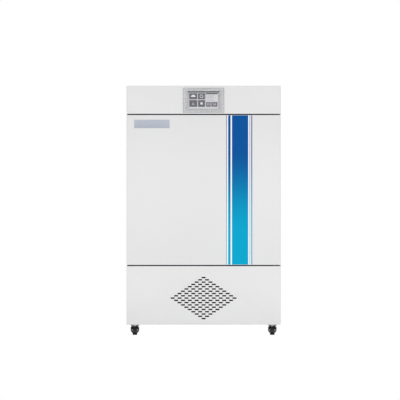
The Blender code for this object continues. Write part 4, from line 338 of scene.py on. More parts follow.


# The display: a moulded ABS bezel in silver-grey paint round a touch screen. The screen's picture is made of
# thin printed layers: a status bar, four dark tiles with white signs, a light list and two value tiles, with
# a grey rule of painted shade down the window's right edge.
silver_abs, where = start_material("silver_painted_abs")
# Metal flake in the paint: light and dark grains of 0.3 mm, drawn at 0.7 mm and in clouds of 4 mm to show.
flake = add_node(silver_abs, "ShaderNodeTexNoise", {"Vector": where, "Scale": 1500.0, "Detail": 1.0})
clouds = add_node(silver_abs, "ShaderNodeTexNoise", {"Vector": where, "Scale": 240.0, "Detail": 1.0})
spread = add_node(silver_abs, "ShaderNodeMath", {0: (flake, 0), 1: (clouds, 0)}, operation="ADD")
spread = add_node(
    silver_abs, "ShaderNodeMapRange", {"Value": (spread, 0), "From Min": 0.75, "From Max": 1.25}
)
tone = add_node(
    silver_abs,
    "ShaderNodeMix",
    {0: (spread, 0), 6: linear("#9B9C9E"), 7: linear("#C6C7C9")},
    data_type="RGBA",
)
bump = add_node(silver_abs, "ShaderNodeBump", {"Height": (flake, 0), "Strength": 0.08, "Distance": 0.0001})
end_material(silver_abs, Base_Color=(tone, 2), Metallic=0.2, Roughness=0.42, Normal=(bump, 0))

bezel = copy_of("display_bezel", "display_bezel_moulding")
bezel_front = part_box("display_bezel")[0].y + 0.0001
screen_low, screen_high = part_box("display_screen")
screen_z = (screen_low.z + screen_high.z) / 2
bezel_round = 0.0022
soften(bezel, bezel_round, lambda a, b: a.y < bezel_front and b.y < bezel_front, segments=4)
settle(bezel, silver_abs, "cabinet", "display_bezel")

# Switched-on LCD behind glass: a pale cool ground that darkens a little towards its top, under a gloss.
lcd_ground, where = start_material("lcd_ground")
parts = add_node(lcd_ground, "ShaderNodeSeparateXYZ", {"Vector": where})
fall = add_node(
    lcd_ground,
    "ShaderNodeMapRange",
    {"Value": (parts, "Z"), "From Min": screen_low.z, "From Max": screen_high.z},
)
grid = add_node(lcd_ground, "ShaderNodeTexNoise", {"Vector": where, "Scale": 900.0, "Detail": 0.0})
dots = add_node(lcd_ground, "ShaderNodeMapRange", {"Value": (grid, 0), "To Min": 0.97, "To Max": 1.03})
tone = add_node(
    lcd_ground, "ShaderNodeMix", {0: (fall, 0), 6: linear("#C9C9CC"), 7: linear("#B0B0B5")}, data_type="RGBA"
)
tone = add_node(lcd_ground, "ShaderNodeHueSaturation", {"Color": (tone, 2), "Value": (dots, 0)})
end_material(lcd_ground, Base_Color=(tone, 0), Roughness=0.3, Coat_Weight=0.4, Coat_Roughness=0.05)
paint_nodes(lcd_ground, "display_screen")


def lcd_colour(name, dark, light):
    """A printed LCD colour: two near shades in the fine grain of the pixels, under the same gloss."""
    return grained(
        name, dark, light, 900.0, detail=0.0, Roughness=0.3, Coat_Weight=0.4, Coat_Roughness=0.05
    )


# The dark bar colour prints the status bar and the list's title, and also paints shade on the bezel's window
# lip.
lcd_bar_and_lip_shade = lcd_colour("lcd_dark_bar_and_painted_shade", "#101012", "#1A1A1D")
lcd_tile = lcd_colour("lcd_grey_tile", "#53535B", "#64646D")
lcd_list = lcd_colour("lcd_light_list", "#D0D0D3", "#DCDCDF")
lcd_value = lcd_colour("lcd_violet_tile", "#655E6D", "#756D7E")
lcd_sign = lcd_colour("lcd_white_sign", "#DEDEE1", "#ECECEE")
lcd_line = lcd_colour("lcd_grey_line", "#93939A", "#A2A2A9")

# The rounded top edge of the bezel's window is painted black as the shade under the window's lip, so that it
# runs on into the status bar.
window_top, edge_reach, window_half = screen_high.z - 0.002, 0.0024, 0.079
paint_faces(
    bezel,
    lcd_bar_and_lip_shade,
    lambda face: window_top - 1e-4 < face.center.z < window_top + edge_reach
    and abs(face.center.x) < window_half,
)


def thin_plate(name, low_x, high_x, low_z, high_z, face_y, proud, corner=0.0):
    """A thin upright plate whose back lies just behind face_y and whose front stands proud of it."""
    bpy.ops.object.select_all(action="DESELECT")
    middle = ((low_x + high_x) / 2, face_y + layer_root, (low_z + high_z) / 2)
    bpy.ops.mesh.primitive_plane_add(size=1, location=middle, rotation=(math.radians(90), 0, 0))
    plate = bpy.context.object
    plate.name = name
    plate.scale = (high_x - low_x, high_z - low_z, 1)
    bpy.ops.object.transform_apply(location=True, rotation=True, scale=True)
    if corner:
        edit(plate)
        bpy.ops.mesh.select_all(action="SELECT")
        bpy.ops.mesh.bevel(offset=corner, segments=4, affect="VERTICES")
        bpy.ops.object.mode_set(mode="OBJECT")
    thicken(plate, (0, -proud - layer_root, 0))
    return plate


# The picture's parts, in metres from the middle of the screen, each one printed layer thick.
screen_y = screen_low.y
layer = 0.00012
for tile_name, low_x, high_x, low_z, high_z, corner, lcd in (
    # The status bar is partly the screen's own bar and partly painted shade under the window's top lip; the
    # grey right rule is painted shade of the window's right wall.
    ("status_bar_and_lip_shade", -0.0768, 0.0768, 0.0392, 0.0426, 0.0, lcd_bar_and_lip_shade),
    ("right_wall_shade", 0.0748, 0.0768, -0.0402, 0.0392, 0.0, lcd_line),
    ("tile_1", -0.0706, -0.0322, 0.0060, 0.0346, 0.0008, lcd_tile),
    ("tile_2", -0.0272, 0.0066, 0.0060, 0.0346, 0.0008, lcd_tile),
    ("tile_3", -0.0706, -0.0322, -0.0318, 0.0010, 0.0008, lcd_tile),
    ("tile_4", -0.0272, 0.0066, -0.0318, 0.0010, 0.0008, lcd_tile),
    ("list_title", 0.0118, 0.0676, 0.0306, 0.0352, 0.0, lcd_bar_and_lip_shade),
    ("list_ground", 0.0118, 0.0700, -0.0054, 0.0298, 0.0, lcd_list),
    ("value_tile_1", 0.0118, 0.0382, -0.0312, -0.0090, 0.0006, lcd_value),
    ("value_tile_2", 0.0398, 0.0676, -0.0312, -0.0090, 0.0006, lcd_value),
    ("foot_bar", -0.0706, 0.0676, -0.0398, -0.0350, 0.0, lcd_list),
):
    tile = thin_plate(
        "screen_" + tile_name, low_x, high_x, screen_z + low_z, screen_z + high_z, screen_y, layer, corner
    )
    settle(tile, lcd, "cabinet")
list_left, list_top, list_step, line_height = 0.0150, screen_z + 0.0244, 0.0062, 0.0016
for row, row_length in enumerate((0.041, 0.034, 0.045, 0.030, 0.038)):
    row_z = list_top - row * list_step
    line = thin_plate(
        f"screen_list_row_{row + 1}",
        list_left,
        list_left + row_length,
        row_z,
        row_z + line_height,
        screen_y - layer,
        layer,
    )
    settle(line, lcd_line, "cabinet")


def flat_sign(name, radius, sides, middle):
    """A flat printed sign on a tile, started as a regular outline that faces the front."""
    bpy.ops.object.select_all(action="DESELECT")
    bpy.ops.mesh.primitive_circle_add(
        vertices=sides, radius=radius, fill_type="NGON", location=middle, rotation=(math.radians(90), 0, 0)
    )
    sign = bpy.context.object
    sign.name = name
    bpy.ops.object.transform_apply(location=True, rotation=True, scale=True)
    return sign


def print_sign(sign):
    """Gives a flat sign the thickness of a printed layer."""
    thicken(sign, (0, -layer, 0))
    settle(sign, lcd_sign, "cabinet")


# Cloud of the humidity tile: a wide wavy disc whose lower side is pressed flat.
left_tiles_x, right_tiles_x, sign_root = -0.0514, -0.0103, 0.00002
sign_y = screen_y - layer + sign_root
cloud = flat_sign("screen_cloud", 0.0075, 32, (left_tiles_x, sign_y, screen_z + 0.0200))
cloud_foot, cloud_stretch, wave_size, waves_along = screen_z + 0.0168, 1.35, 0.0012, 1400
for corner in cloud.data.vertices:
    wave = wave_size * math.sin(corner.co.x * waves_along)
    corner.co.x = left_tiles_x + (corner.co.x - left_tiles_x) * cloud_stretch + wave
    corner.co.z = max(corner.co.z, cloud_foot)
print_sign(cloud)

# Ring of the timer tile and outlined triangle of the graph tile.
for sign_name, sign_radius, sign_sides, sign_place, band_width in (
    ("screen_ring", 0.0082, 40, (right_tiles_x, sign_y, screen_z + 0.0203), 0.0022),
    ("screen_triangle", 0.0072, 3, (left_tiles_x, sign_y, screen_z - 0.0177), 0.0012),
):
    outline = flat_sign(sign_name, sign_radius, sign_sides, sign_place)
    leave_outline(outline, band_width)
    print_sign(outline)

# Sun of the light tile: every second corner of its outline is drawn in to the disc, so that rays stand out.
sun_z, disc_share = screen_z - 0.0154, 0.48
sun = flat_sign("screen_sun", 0.0092, 16, (right_tiles_x, sign_y, sun_z))
for corner in list(sun.data.vertices)[::2]:
    corner.co.x = right_tiles_x + (corner.co.x - right_tiles_x) * disc_share
    corner.co.z = sun_z + (corner.co.z - sun_z) * disc_share
print_sign(sun)

# The two value tiles show plain numbers, a temperature and a gas share.
value_z, digit_size = screen_z - 0.0201, 0.0125
for value_name, value_text, value_x in (
    ("screen_value_1", "37.0", 0.0250),
    ("screen_value_2", "5.0", 0.0537),
):
    bpy.ops.object.select_all(action="DESELECT")
    bpy.ops.object.text_add(location=(value_x, sign_y, value_z), rotation=(math.radians(90), 0, 0))
    value = bpy.context.object
    value.name = value_name
    value.data.body = value_text
    value.data.size = digit_size
    value.data.align_x = "CENTER"
    value.data.align_y = "CENTER"
    bpy.ops.object.convert(target="MESH")
    bpy.ops.object.transform_apply(location=True, rotation=True, scale=True)
    print_sign(value)


# The blank badge: a stamped aluminium plate, brushed and tinted pale blue, glued to the door's top left.
# Its face lies a quarter of a millimetre below a narrow rim.
badge_alloy, where = start_material("brushed_tinted_aluminium")
# Brush lines run along the plate: noise drawn out a hundred times in X, at a real pitch of about 0.4 mm.
drawn = add_node(badge_alloy, "ShaderNodeMapping", {"Vector": where, "Scale": (25.0, 300.0, 2400.0)})
lines = add_node(badge_alloy, "ShaderNodeTexNoise", {"Vector": (drawn, 0), "Scale": 1.0, "Detail": 3.0})
parts = add_node(badge_alloy, "ShaderNodeSeparateXYZ", {"Vector": where})
badge_low, badge_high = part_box("badge_plate")
# The plate's ground runs from a darker grey-blue at its foot to a lighter one at its head: painted shade of
# light from above.
fall = add_node(
    badge_alloy,
    "ShaderNodeMapRange",
    {"Value": (parts, "Z"), "From Min": badge_low.z, "From Max": badge_high.z},
)
badge_shade_ramp = add_node(
    badge_alloy, "ShaderNodeMix", {0: (fall, 0), 6: linear("#959CA8"), 7: linear("#AEB6C2")}, data_type="RGBA"
)
tone = add_node(
    badge_alloy, "ShaderNodeMix", {0: (lines, 0), 6: (badge_shade_ramp, 2), 7: linear("#B6BDC8")}, data_type="RGBA"
)
bump = add_node(badge_alloy, "ShaderNodeBump", {"Height": (lines, 0), "Strength": 0.15, "Distance": 0.0001})
end_material(badge_alloy, Base_Color=(tone, 2), Metallic=0.15, Roughness=0.4, Normal=(bump, 0))

badge = copy_of("badge_plate", "badge_plate_stamping")
badge_rim, badge_dip, badge_round = 0.0022, 0.00025, 0.0004
edit(badge)
for face in bmesh.from_edit_mesh(badge.data).faces:
    face.select_set(face.normal.y < -0.99)
bpy.ops.mesh.inset(thickness=badge_rim)
bpy.ops.transform.translate(value=(0, badge_dip, 0))
bpy.ops.object.mode_set(mode="OBJECT")
badge_front = badge_low.y + 0.0001
soften(badge, badge_round, lambda a, b: a.y < badge_front and b.y < badge_front, segments=2)
settle(badge, badge_alloy, "door", "badge_plate")


# Decoration film on the door: one wide band and narrow lines of cut vinyl, 0.15 mm thick, that run straight
# from the door's foot to its head. The print is cyan up to one height and turns to deep blue at another.
ramp_foot, ramp_head = 0.48, 0.92


def stripe_film(name, low_colour, high_colour):
    """Printed vinyl: an even ink ramp with height and a slight mottle of the ink, under a satin film."""
    made, spot = start_material(name)
    axes = add_node(made, "ShaderNodeSeparateXYZ", {"Vector": spot})
    height = add_node(
        made,
        "ShaderNodeMapRange",
        {"Value": (axes, "Z"), "From Min": ramp_foot, "From Max": ramp_head},
        interpolation_type="SMOOTHSTEP",
    )
    ramp = add_node(
        made,
        "ShaderNodeMix",
        {0: (height, 0), 6: linear(low_colour), 7: linear(high_colour)},
        data_type="RGBA",
    )
    ink = add_node(made, "ShaderNodeTexNoise", {"Vector": spot, "Scale": 700.0, "Detail": 1.0})
    mottle = add_node(made, "ShaderNodeMapRange", {"Value": (ink, 0), "To Min": 0.97, "To Max": 1.03})
    printed = add_node(made, "ShaderNodeHueSaturation", {"Color": (ramp, 2), "Value": (mottle, 0)})
    end_material(made, Base_Color=(printed, 0), Roughness=0.5, Specular_IOR_Level=0.06)
    return made


door_low, door_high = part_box("door_skin")
band_film = stripe_film("vinyl_cyan_to_blue", "#00A9D2", "#05559E")
steel_film = stripe_film("vinyl_steel_blue", "#5FA9C6", "#3F5F96")
pale_film = stripe_film("vinyl_white", "#FAFBFC", "#FAFBFC")
film_thickness, film_margin = 0.00015, 0.0016
film_foot, film_head = door_low.z + film_margin, door_high.z - film_margin
for film_name, film_left, film_right, film in (
    ("stripe_far_line", 0.1120, 0.1150, steel_film),
    ("stripe_white_far", 0.1150, 0.1210, pale_film),
    ("stripe_side_band", 0.1210, 0.1330, band_film),
    ("stripe_white_inner", 0.1330, 0.1400, pale_film),
    ("stripe_wide_band", 0.1400, 0.2200, band_film),
    ("stripe_white_outer", 0.2200, 0.2270, pale_film),
    ("stripe_near_line", 0.2270, 0.2300, steel_film),
    ("stripe_white_near", 0.2300, 0.2350, pale_film),
    ("stripe_outer_line", 0.2350, 0.2400, band_film),
):
    strip = thin_plate(film_name, film_left, film_right, film_foot, film_head, door_low.y, film_thickness)
    settle(strip, film, "door")


# The outer door's inside: a vacuum-formed plastic panel closes the skin over its foam, and a mitred magnetic
# gasket is pushed into it. The gasket's section has a foot, two bellows folds and a soft magnet bulb.
moulded_white, where = start_material("vacuum_formed_white_abs")
# A fine matt grain, about 1 mm across, and the faint thick and thin of a drawn sheet.
grain = add_node(moulded_white, "ShaderNodeTexNoise", {"Vector": where, "Scale": 950.0, "Detail": 2.0})
draw = add_node(moulded_white, "ShaderNodeTexNoise", {"Vector": where, "Scale": 6.0, "Detail": 1.0})
tone = add_node(
    moulded_white,
    "ShaderNodeMix",
    {0: (draw, 0), 6: linear("#DFE0DF"), 7: linear("#E7E8E8")},
    data_type="RGBA",
)
bump = add_node(moulded_white, "ShaderNodeBump", {"Height": (grain, 0), "Strength": 0.2, "Distance": 0.0002})
end_material(moulded_white, Base_Color=(tone, 2), Roughness=0.5, Normal=(bump, 0))
liner = copy_of("door_liner", "door_inner_panel")
liner_edge, liner_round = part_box("door_liner")[1].x - 0.001, 0.003
soften(liner, liner_round, lambda a, b: max(abs(a.x), abs(b.x)) < liner_edge, segments=4)
settle(liner, moulded_white, "door", "door_liner")

# Polyurethane foam poured in place: cream, matt, and full of small closed cells about 1.5 mm wide.
foam_fill = grained(
    "poured_polyurethane_foam", "#D9C58E", "#EBDDB4", 650.0, bump=(0.5, 0.0008), Roughness=0.9
)
paint_nodes(foam_fill, "door_foam", "insulation")


def swept_frame(name, half_width, half_height, middle_z, section):
    """A mitred frame: a rectangle that is extruded from one point of its section to the next."""
    bpy.ops.object.select_all(action="DESELECT")
    bpy.ops.mesh.primitive_plane_add(size=2, location=(0, 0, 0), rotation=(math.radians(90), 0, 0))
    made = bpy.context.object
    made.name = name
    bpy.ops.object.transform_apply(location=True, rotation=True, scale=True)
    edit(made)
    bpy.ops.mesh.select_all(action="SELECT")
    bpy.ops.mesh.delete(type="ONLY_FACE")
    bpy.ops.mesh.select_mode(type="EDGE")
    bpy.ops.mesh.select_all(action="SELECT")
    out, y = section[0]
    bpy.ops.transform.resize(value=(half_width + out, 1, half_height + out), center_override=(0, 0, 0))
    bpy.ops.transform.translate(value=(0, y, middle_z))
    for next_out, next_y in (*section[1:], section[0]):
        bpy.ops.mesh.extrude_edges_move(TRANSFORM_OT_translate={"value": (0, next_y - y, 0)})
        grow_x = (half_width + next_out) / (half_width + out)
        grow_z = (half_height + next_out) / (half_height + out)
        bpy.ops.transform.resize(value=(grow_x, 1, grow_z), center_override=(0, next_y, middle_z))
        out, y = next_out, next_y
    bpy.ops.mesh.select_all(action="SELECT")
    bpy.ops.mesh.remove_doubles(threshold=0.00001)
    bpy.ops.mesh.normals_make_consistent(inside=False)
    bpy.ops.object.mode_set(mode="OBJECT")
    return made


# Plasticised PVC: light grey, soft and a little greasy in its sheen, with a faint drag from extrusion.
soft_pvc = grained(
    "extruded_soft_pvc_grey",
    "#A9ABAC",
    "#B9BBBC",
    320.0,
    detail=2.0,
    bump=(0.15, 0.0003),
    Roughness=0.5,
    Sheen_Weight=0.1,
)
gasket_low, gasket_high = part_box("door_gasket")
gasket_band = 0.014
# Half of the section, from the foot to the bulb: (out from the middle of the strip, forward from the foot).
half_section = (
    (0.0070, 0.0000), (0.0070, 0.0014), (0.0052, 0.0020), (0.0034, 0.0030), (0.0052, 0.0041),
    (0.0058, 0.0052), (0.0062, 0.0068), (0.0060, 0.0086), (0.0052, 0.0096), (0.0038, 0.0099),
)
section = [(out, gasket_low.y + rise) for out, rise in half_section]
section += [(-out, gasket_low.y + rise) for out, rise in reversed(half_section)]
gasket = swept_frame(
    "magnetic_door_gasket",
    gasket_high.x - gasket_band / 2,
    (gasket_high.z - gasket_low.z - gasket_band) / 2,
    (gasket_high.z + gasket_low.z) / 2,
    section,
)
settle(gasket, soft_pvc, "door", "door_gasket", smooth=50)


# The door's fittings: an injection-moulded finger grip let into the left edge, and two pivot plates of
# blackened steel screwed into the gaps at the right, with the pins that the door turns on.

# Moulded black ABS with the grain of a spark-eroded mould: matt, with low bumps, drawn at 1 mm so that
# they show.
black_abs = grained(
    "moulded_black_abs", "#151516", "#232325", 1000.0, detail=2.0, bump=(0.3, 0.0002), Roughness=0.55
)
grip = copy_of("door_grip", "door_finger_grip")
grip_left, grip_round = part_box("door_grip")[0].x, 0.0008
soften(grip, grip_round, lambda a, b: max(a.x, b.x) < grip_left + 0.0001, segments=3)
settle(grip, black_abs, "door", "door_grip")

blackened, where = start_material("blackened_steel")
# Hot-blackened steel: a dark oxide with slow cloudy patches and a dull shine.
cloud = add_node(blackened, "ShaderNodeTexNoise", {"Vector": where, "Scale": 90.0, "Detail": 4.0})
tone = add_node(
    blackened, "ShaderNodeMix", {0: (cloud, 0), 6: linear("#26272A"), 7: linear("#3B3C40")}, data_type="RGBA"
)
patch = add_node(blackened, "ShaderNodeMapRange", {"Value": (cloud, 0), "To Min": 0.38, "To Max": 0.55})
end_material(blackened, Base_Color=(tone, 2), Metallic=0.6, Roughness=(patch, 0))
for end in ("top", "bottom"):
    plate = copy_of("hinge_bracket_" + end, "door_pivot_plate_" + end)
    settle(plate, blackened, "cabinet", "hinge_bracket_" + end)

# Strips of black EPDM foam, 3 mm thick, stuck on the surround at the bottom of the gaps above and below the
# door, are painted shade that keeps the gaps dark. The foam is matt, with cells that show as small pits.
gap_shade_foam = grained(
    "black_foam_painted_gap_shade", "#080808", "#161617", 900.0, bump=(0.5, 0.0003), Roughness=0.95, Specular_IOR_Level=0.1
)
strip_inset, strip_play, strip_thickness = 0.002, 0.0002, 0.003
strip_left = strip_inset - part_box("door_surround")[1].x
strip_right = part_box("hinge_bracket_top")[0].x - strip_inset
for strip_name, strip_low, strip_high in (
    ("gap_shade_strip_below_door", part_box("lower_front_panel")[1].z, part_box("door_skin")[0].z),
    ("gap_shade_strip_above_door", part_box("door_skin")[1].z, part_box("control_fascia")[0].z),
):
    strip = thin_plate(
        strip_name,
        strip_left,
        strip_right,
        strip_low + strip_play,
        strip_high - strip_play,
        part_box("door_surround")[0].y,
        strip_thickness,
    )
    settle(strip, gap_shade_foam, "cabinet")

# A thin black trim of the same foam over the folded edge of the lower panel and of the fascia that faces the
# door is painted shade, which makes the gap lines darker and wider.
trim_reach, trim_lip, trim_depth, trim_proud, trim_inset = 0.0012, 0.0003, 0.0012, 0.0003, 0.006
for trim_node, trim_side, edge_z in (
    ("lower_front_panel", -1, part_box("lower_front_panel")[1].z),
    ("control_fascia", 1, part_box("control_fascia")[0].z),
):
    ends_z = sorted((edge_z - trim_side * trim_lip, edge_z + trim_side * trim_reach))
    face_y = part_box(trim_node)[0].y
    half_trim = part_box(trim_node)[1].x - trim_inset
    trim = thin_plate(
        trim_node + "_gap_shade_trim", -half_trim, half_trim, *ends_z, face_y + trim_depth, trim_depth + trim_proud
    )
    settle(trim, gap_shade_foam, "cabinet")


# The chamber: a folded wrapper and a flat back of stainless steel, welded and electropolished after brushing,
# with hung racks, perforated shelves, a water pan and the air plenum under its ceiling.
def stainless_sheet(name, stretch, rough=(0.24, 0.36)):
    """Brushed 304 stainless steel: a pale grey metal with fine lines, drawn out by the stretch given."""
    made, spot = start_material(name)
    drawn_out = add_node(made, "ShaderNodeMapping", {"Vector": spot, "Scale": stretch})
    brush = add_node(made, "ShaderNodeTexNoise", {"Vector": (drawn_out, 0), "Scale": 1.0, "Detail": 4.0})
    wide = add_node(made, "ShaderNodeTexNoise", {"Vector": spot, "Scale": 7.0, "Detail": 2.0})
    mixed = add_node(
        made, "ShaderNodeMix", {0: (brush, 0), 6: linear("#B4B6B8"), 7: linear("#D2D4D6")}, data_type="RGBA"
    )
    dull = add_node(made, "ShaderNodeMapRange", {"Value": (wide, 0), "To Min": rough[0], "To Max": rough[1]})
    raised = add_node(made, "ShaderNodeBump", {"Height": (brush, 0), "Strength": 0.12, "Distance": 0.0001})
    end_material(
        made, Base_Color=(mixed, 2), Metallic=1.0, Roughness=(dull, 0), Anisotropic=0.4, Normal=(raised, 0)
    )
    return made


# Brush lines lie level round the chamber's walls, about 0.5 mm apart, and along the shelves' width.
liner_steel = stainless_sheet("brushed_stainless_level", (30.0, 30.0, 1900.0))
shelf_steel = stainless_sheet("brushed_stainless_across", (25.0, 1900.0, 300.0))
rack_steel = stainless_sheet("brushed_stainless_upright", (1900.0, 600.0, 25.0))
for node_name, piece_name, steel, body in (
    ("chamber_liner", "chamber_liner_folded", liner_steel, "cabinet"),
    ("chamber_back", "chamber_back_sheet", liner_steel, "cabinet"),
    ("shelf_rack_left", "hung_rack_left", rack_steel, "cabinet"),
    ("shelf_rack_right", "hung_rack_right", rack_steel, "cabinet"),
    ("shelf_1", "perforated_shelf_1", shelf_steel, "shelf_1"),
    ("shelf_2", "perforated_shelf_2", shelf_steel, "shelf_2"),
    ("shelf_3", "perforated_shelf_3", shelf_steel, "shelf_3"),
    ("humidity_pan", "drawn_water_pan", shelf_steel, "humidity_pan"),
    ("air_plenum", "folded_air_plenum", shelf_steel, "cabinet"),
):
    sheet = copy_of(node_name, piece_name)
    settle(sheet, steel, body, node_name, smooth=40)

# Knurled thumb screws hold the plenum, so that it comes off without tools for cleaning. The knurl is every
# second side face of the head drawn in.
turned_steel = stainless_sheet("turned_stainless", (700.0, 700.0, 2500.0), rough=(0.16, 0.26))
plenum_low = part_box("air_plenum")[0]
head_x, head_y, head_z = 0.160, plenum_low.y + 0.016, plenum_low.z - 0.0038
head_radius, head_height, head_sides, head_round = 0.0065, 0.008, 48, 0.001
knurl_edge, knurl_depth = 0.0002, 0.0004
bpy.ops.object.select_all(action="DESELECT")
bpy.ops.mesh.primitive_cylinder_add(
    vertices=head_sides, radius=head_radius, depth=head_height, location=(head_x, head_y, head_z)
)
thumb_screw = bpy.context.object
thumb_screw.name = "plenum_thumb_screw_1"
bpy.ops.object.transform_apply(location=True, rotation=True, scale=True)
edit(thumb_screw)
mesh = bmesh.from_edit_mesh(thumb_screw.data)
for face in mesh.faces:
    face.select_set(face.normal.z < -0.9)
bmesh.update_edit_mesh(thumb_screw.data)
bpy.ops.mesh.bevel(offset=head_round, segments=2, affect="EDGES")
mesh = bmesh.from_edit_mesh(thumb_screw.data)
for face in mesh.faces:
    middle = face.calc_center_median()
    bearing = math.atan2(middle.y - head_y, middle.x - head_x) / math.tau * head_sides
    face.select_set(abs(face.normal.z) < 0.1 and int(bearing + head_sides) % 2 == 0)
bmesh.update_edit_mesh(thumb_screw.data)
bpy.ops.mesh.inset(thickness=knurl_edge, depth=-knurl_depth, use_individual=True)
bpy.ops.object.mode_set(mode="OBJECT")
across_plenum, along_plenum = -0.320, 0.248
for number, head_shift in enumerate(
    ((across_plenum, 0, 0), (0, along_plenum, 0), (across_plenum, along_plenum, 0)), start=2
):
    next_screw = copy_piece(thumb_screw, f"plenum_thumb_screw_{number}", head_shift)
    settle(next_screw, turned_steel, "cabinet")
settle(thumb_screw, turned_steel, "cabinet")


# The inner door: a pane of tempered glass that hangs on a stainless stile, with pins in two stainless angles
# on the surround's recess, a turned knob, and a silicone bulb seal on the chamber's lip.

# Float glass is clear and faintly green, and its surface has very slow waves from tempering.
float_glass = grained(
    "tempered_clear_glass",
    "#F1F8F5",
    "#F6FBF9",
    9.0,
    detail=0.0,
    bump=(0.04, 0.002),
    Roughness=0.02,
    IOR=1.52,
    Transmission_Weight=1.0,
)
paint_nodes(float_glass, "glass_pane")

drawn_bar = stainless_sheet("drawn_stainless_bar", (900.0, 900.0, 40.0), rough=(0.18, 0.28))
stile = copy_of("glass_hinge_stile", "glass_door_stile")
settle(stile, drawn_bar, "glass_door", "glass_hinge_stile", smooth=35)
surround = copy_of("door_surround", "door_surround_frame")
settle(surround, powder_white, "cabinet", "door_surround")

# The two angles are part of the surround's solid: their faces lie in the recess, beside its right wall.
surround_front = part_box("door_surround")[0].y
angles_left, angles_right = 0.25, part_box("glass_hinge_stile")[1].x + 0.0135
angles_front, angles_back = surround_front + 0.015, surround_front + 0.034
wall_area = 0.002
paint_faces(
    surround,
    drawn_bar,
    lambda face: angles_left < face.center.x < angles_right
    and angles_front < face.center.y < angles_back
    and not (abs(face.normal.x) > 0.99 and face.area > wall_area),
)
knob = copy_of("glass_knob", "glass_door_knob")
settle(knob, black_abs, "glass_door", "glass_knob", smooth=40)

# Platinum-cured silicone: milky and a little see-through, with a dry, dust-soft surface.
silicone = grained(
    "moulded_white_silicone",
    "#D8D6D1",
    "#E4E2DE",
    60.0,
    detail=2.0,
    Roughness=0.55,
    Subsurface_Weight=0.2,
    Subsurface_Radius=(0.002, 0.002, 0.002),
)
paint_nodes(silicone, "gas_tube")
settle(copy_of("inner_seal", "silicone_bulb_seal"), silicone, "cabinet", "inner_seal", smooth=40)
settle(copy_of("port_plug", "silicone_port_plug"), silicone, "port_plug", "port_plug", smooth=40)

# Sensor head in the back wall: a guard of sintered PTFE over the infra-red cell, matt white with open pores.
sensor_white = grained("sintered_ptfe", "#CFCFCB", "#ECECE9", 1200.0, bump=(0.4, 0.0003), Roughness=0.75)
settle(copy_of("co2_sensor", "gas_sensor_head"), sensor_white, "cabinet", "co2_sensor", smooth=40)


# The fans, motors and the cooling set in the machine bay and over the chamber. They are seen only through
# the slots, but keep the finish that they have: stoved black enamel, moulded blades, black coated fins.

# Stoved enamel: black and glossy, with the fine orange peel of a sprayed coat.
enamel = grained(
    "stoved_black_enamel", "#101112", "#1D1E20", 420.0, detail=2.0, bump=(0.25, 0.0003), Roughness=0.35
)
for node_name in ("compressor", "fan_motor", "condenser_fan_motor"):
    settle(copy_of(node_name, node_name + "_enamelled"), enamel, "cabinet", node_name, smooth=40)
for node_name in ("circulation_fan", "condenser_fan"):
    settle(copy_of(node_name, node_name + "_moulding"), black_abs, node_name, node_name, smooth=35)

finned, where = start_material("black_coated_fins")
# Aluminium fins dipped in black epoxy: dull edges, with the gaps between them painted darker, partly the
# black coat and partly painted shade. The fins are 2 mm apart across the coil's face, and drawn 4 mm apart so
# that they show.
fins = add_node(
    finned,
    "ShaderNodeTexWave",
    {"Vector": where, "Scale": 78.5, "Distortion": 0.0},
    wave_type="BANDS",
    bands_direction="X",
)
tone = add_node(
    finned, "ShaderNodeMix", {0: (fins, 0), 6: linear("#060607"), 7: linear("#18191A")}, data_type="RGBA"
)
bump = add_node(finned, "ShaderNodeBump", {"Height": (fins, 0), "Strength": 0.8, "Distance": 0.0006})
end_material(finned, Base_Color=(tone, 2), Roughness=0.7, Specular_IOR_Level=0.2, Normal=(bump, 0))
paint_nodes(finned, "condenser")

# The power supply's case is extruded aluminium: a clean grey metal with draw lines along its length.
extruded, where = start_material("extruded_aluminium")
drawn = add_node(extruded, "ShaderNodeMapping", {"Vector": where, "Scale": (20.0, 1200.0, 1200.0)})
lines = add_node(extruded, "ShaderNodeTexNoise", {"Vector": (drawn, 0), "Scale": 1.0, "Detail": 2.0})
tone = add_node(
    extruded, "ShaderNodeMix", {0: (lines, 0), 6: linear("#A7AAAD"), 7: linear("#C3C6C9")}, data_type="RGBA"
)
end_material(extruded, Base_Color=(tone, 2), Metallic=1.0, Roughness=0.4)
paint_nodes(extruded, "power_supply")

# The base pan, deck and tray: galvanised sheet with a matt, slightly specked grey primer, seen from below.
primer = grained(
    "grey_epoxy_primer", "#7D8184", "#8C9093", 500.0, detail=2.0, bump=(0.2, 0.0002), Roughness=0.6
)
paint_nodes(primer, "base_frame", "machine_deck", "electrical_tray")


# Services on the back: the carbon dioxide inlet's brass barb and valve, the mains inlet with its rocker
# switch, and pan-head screws round the panel.

# Turned brass: a warm yellow metal, hazed by fine turning marks.
brass = grained("turned_brass", "#B8923F", "#D8B565", 800.0, detail=2.0, Metallic=1.0, Roughness=0.28)
valve = copy_of("co2_valve", "gas_valve_brass")
settle(valve, brass, "cabinet", "co2_valve", smooth=35)
# The solenoid coil on top of the brass body is potted in black plastic.
valve_body_height = 0.030
coil_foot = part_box("co2_valve")[0].z + valve_body_height
paint_faces(valve, black_abs, lambda face: face.center.z > coil_foot + 0.0005)
inlet = copy_of("power_inlet", "mains_inlet_moulding")
settle(inlet, black_abs, "cabinet", "power_inlet", smooth=30)

# The three flat pins in the socket are nickel-plated brass: pale, warm and bright.
nickel = grained("nickel_plated_brass", "#B5B0A4", "#D0CBBE", 900.0, detail=2.0, Metallic=1.0, Roughness=0.25)
inlet_low, inlet_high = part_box("power_inlet")
socket_drop, socket_rim = 0.014, 0.004
socket_x, socket_z = (inlet_low.x + inlet_high.x) / 2, (inlet_low.z + inlet_high.z) / 2 - socket_drop
pins_half_width, pins_half_height = 0.0095, 0.0036


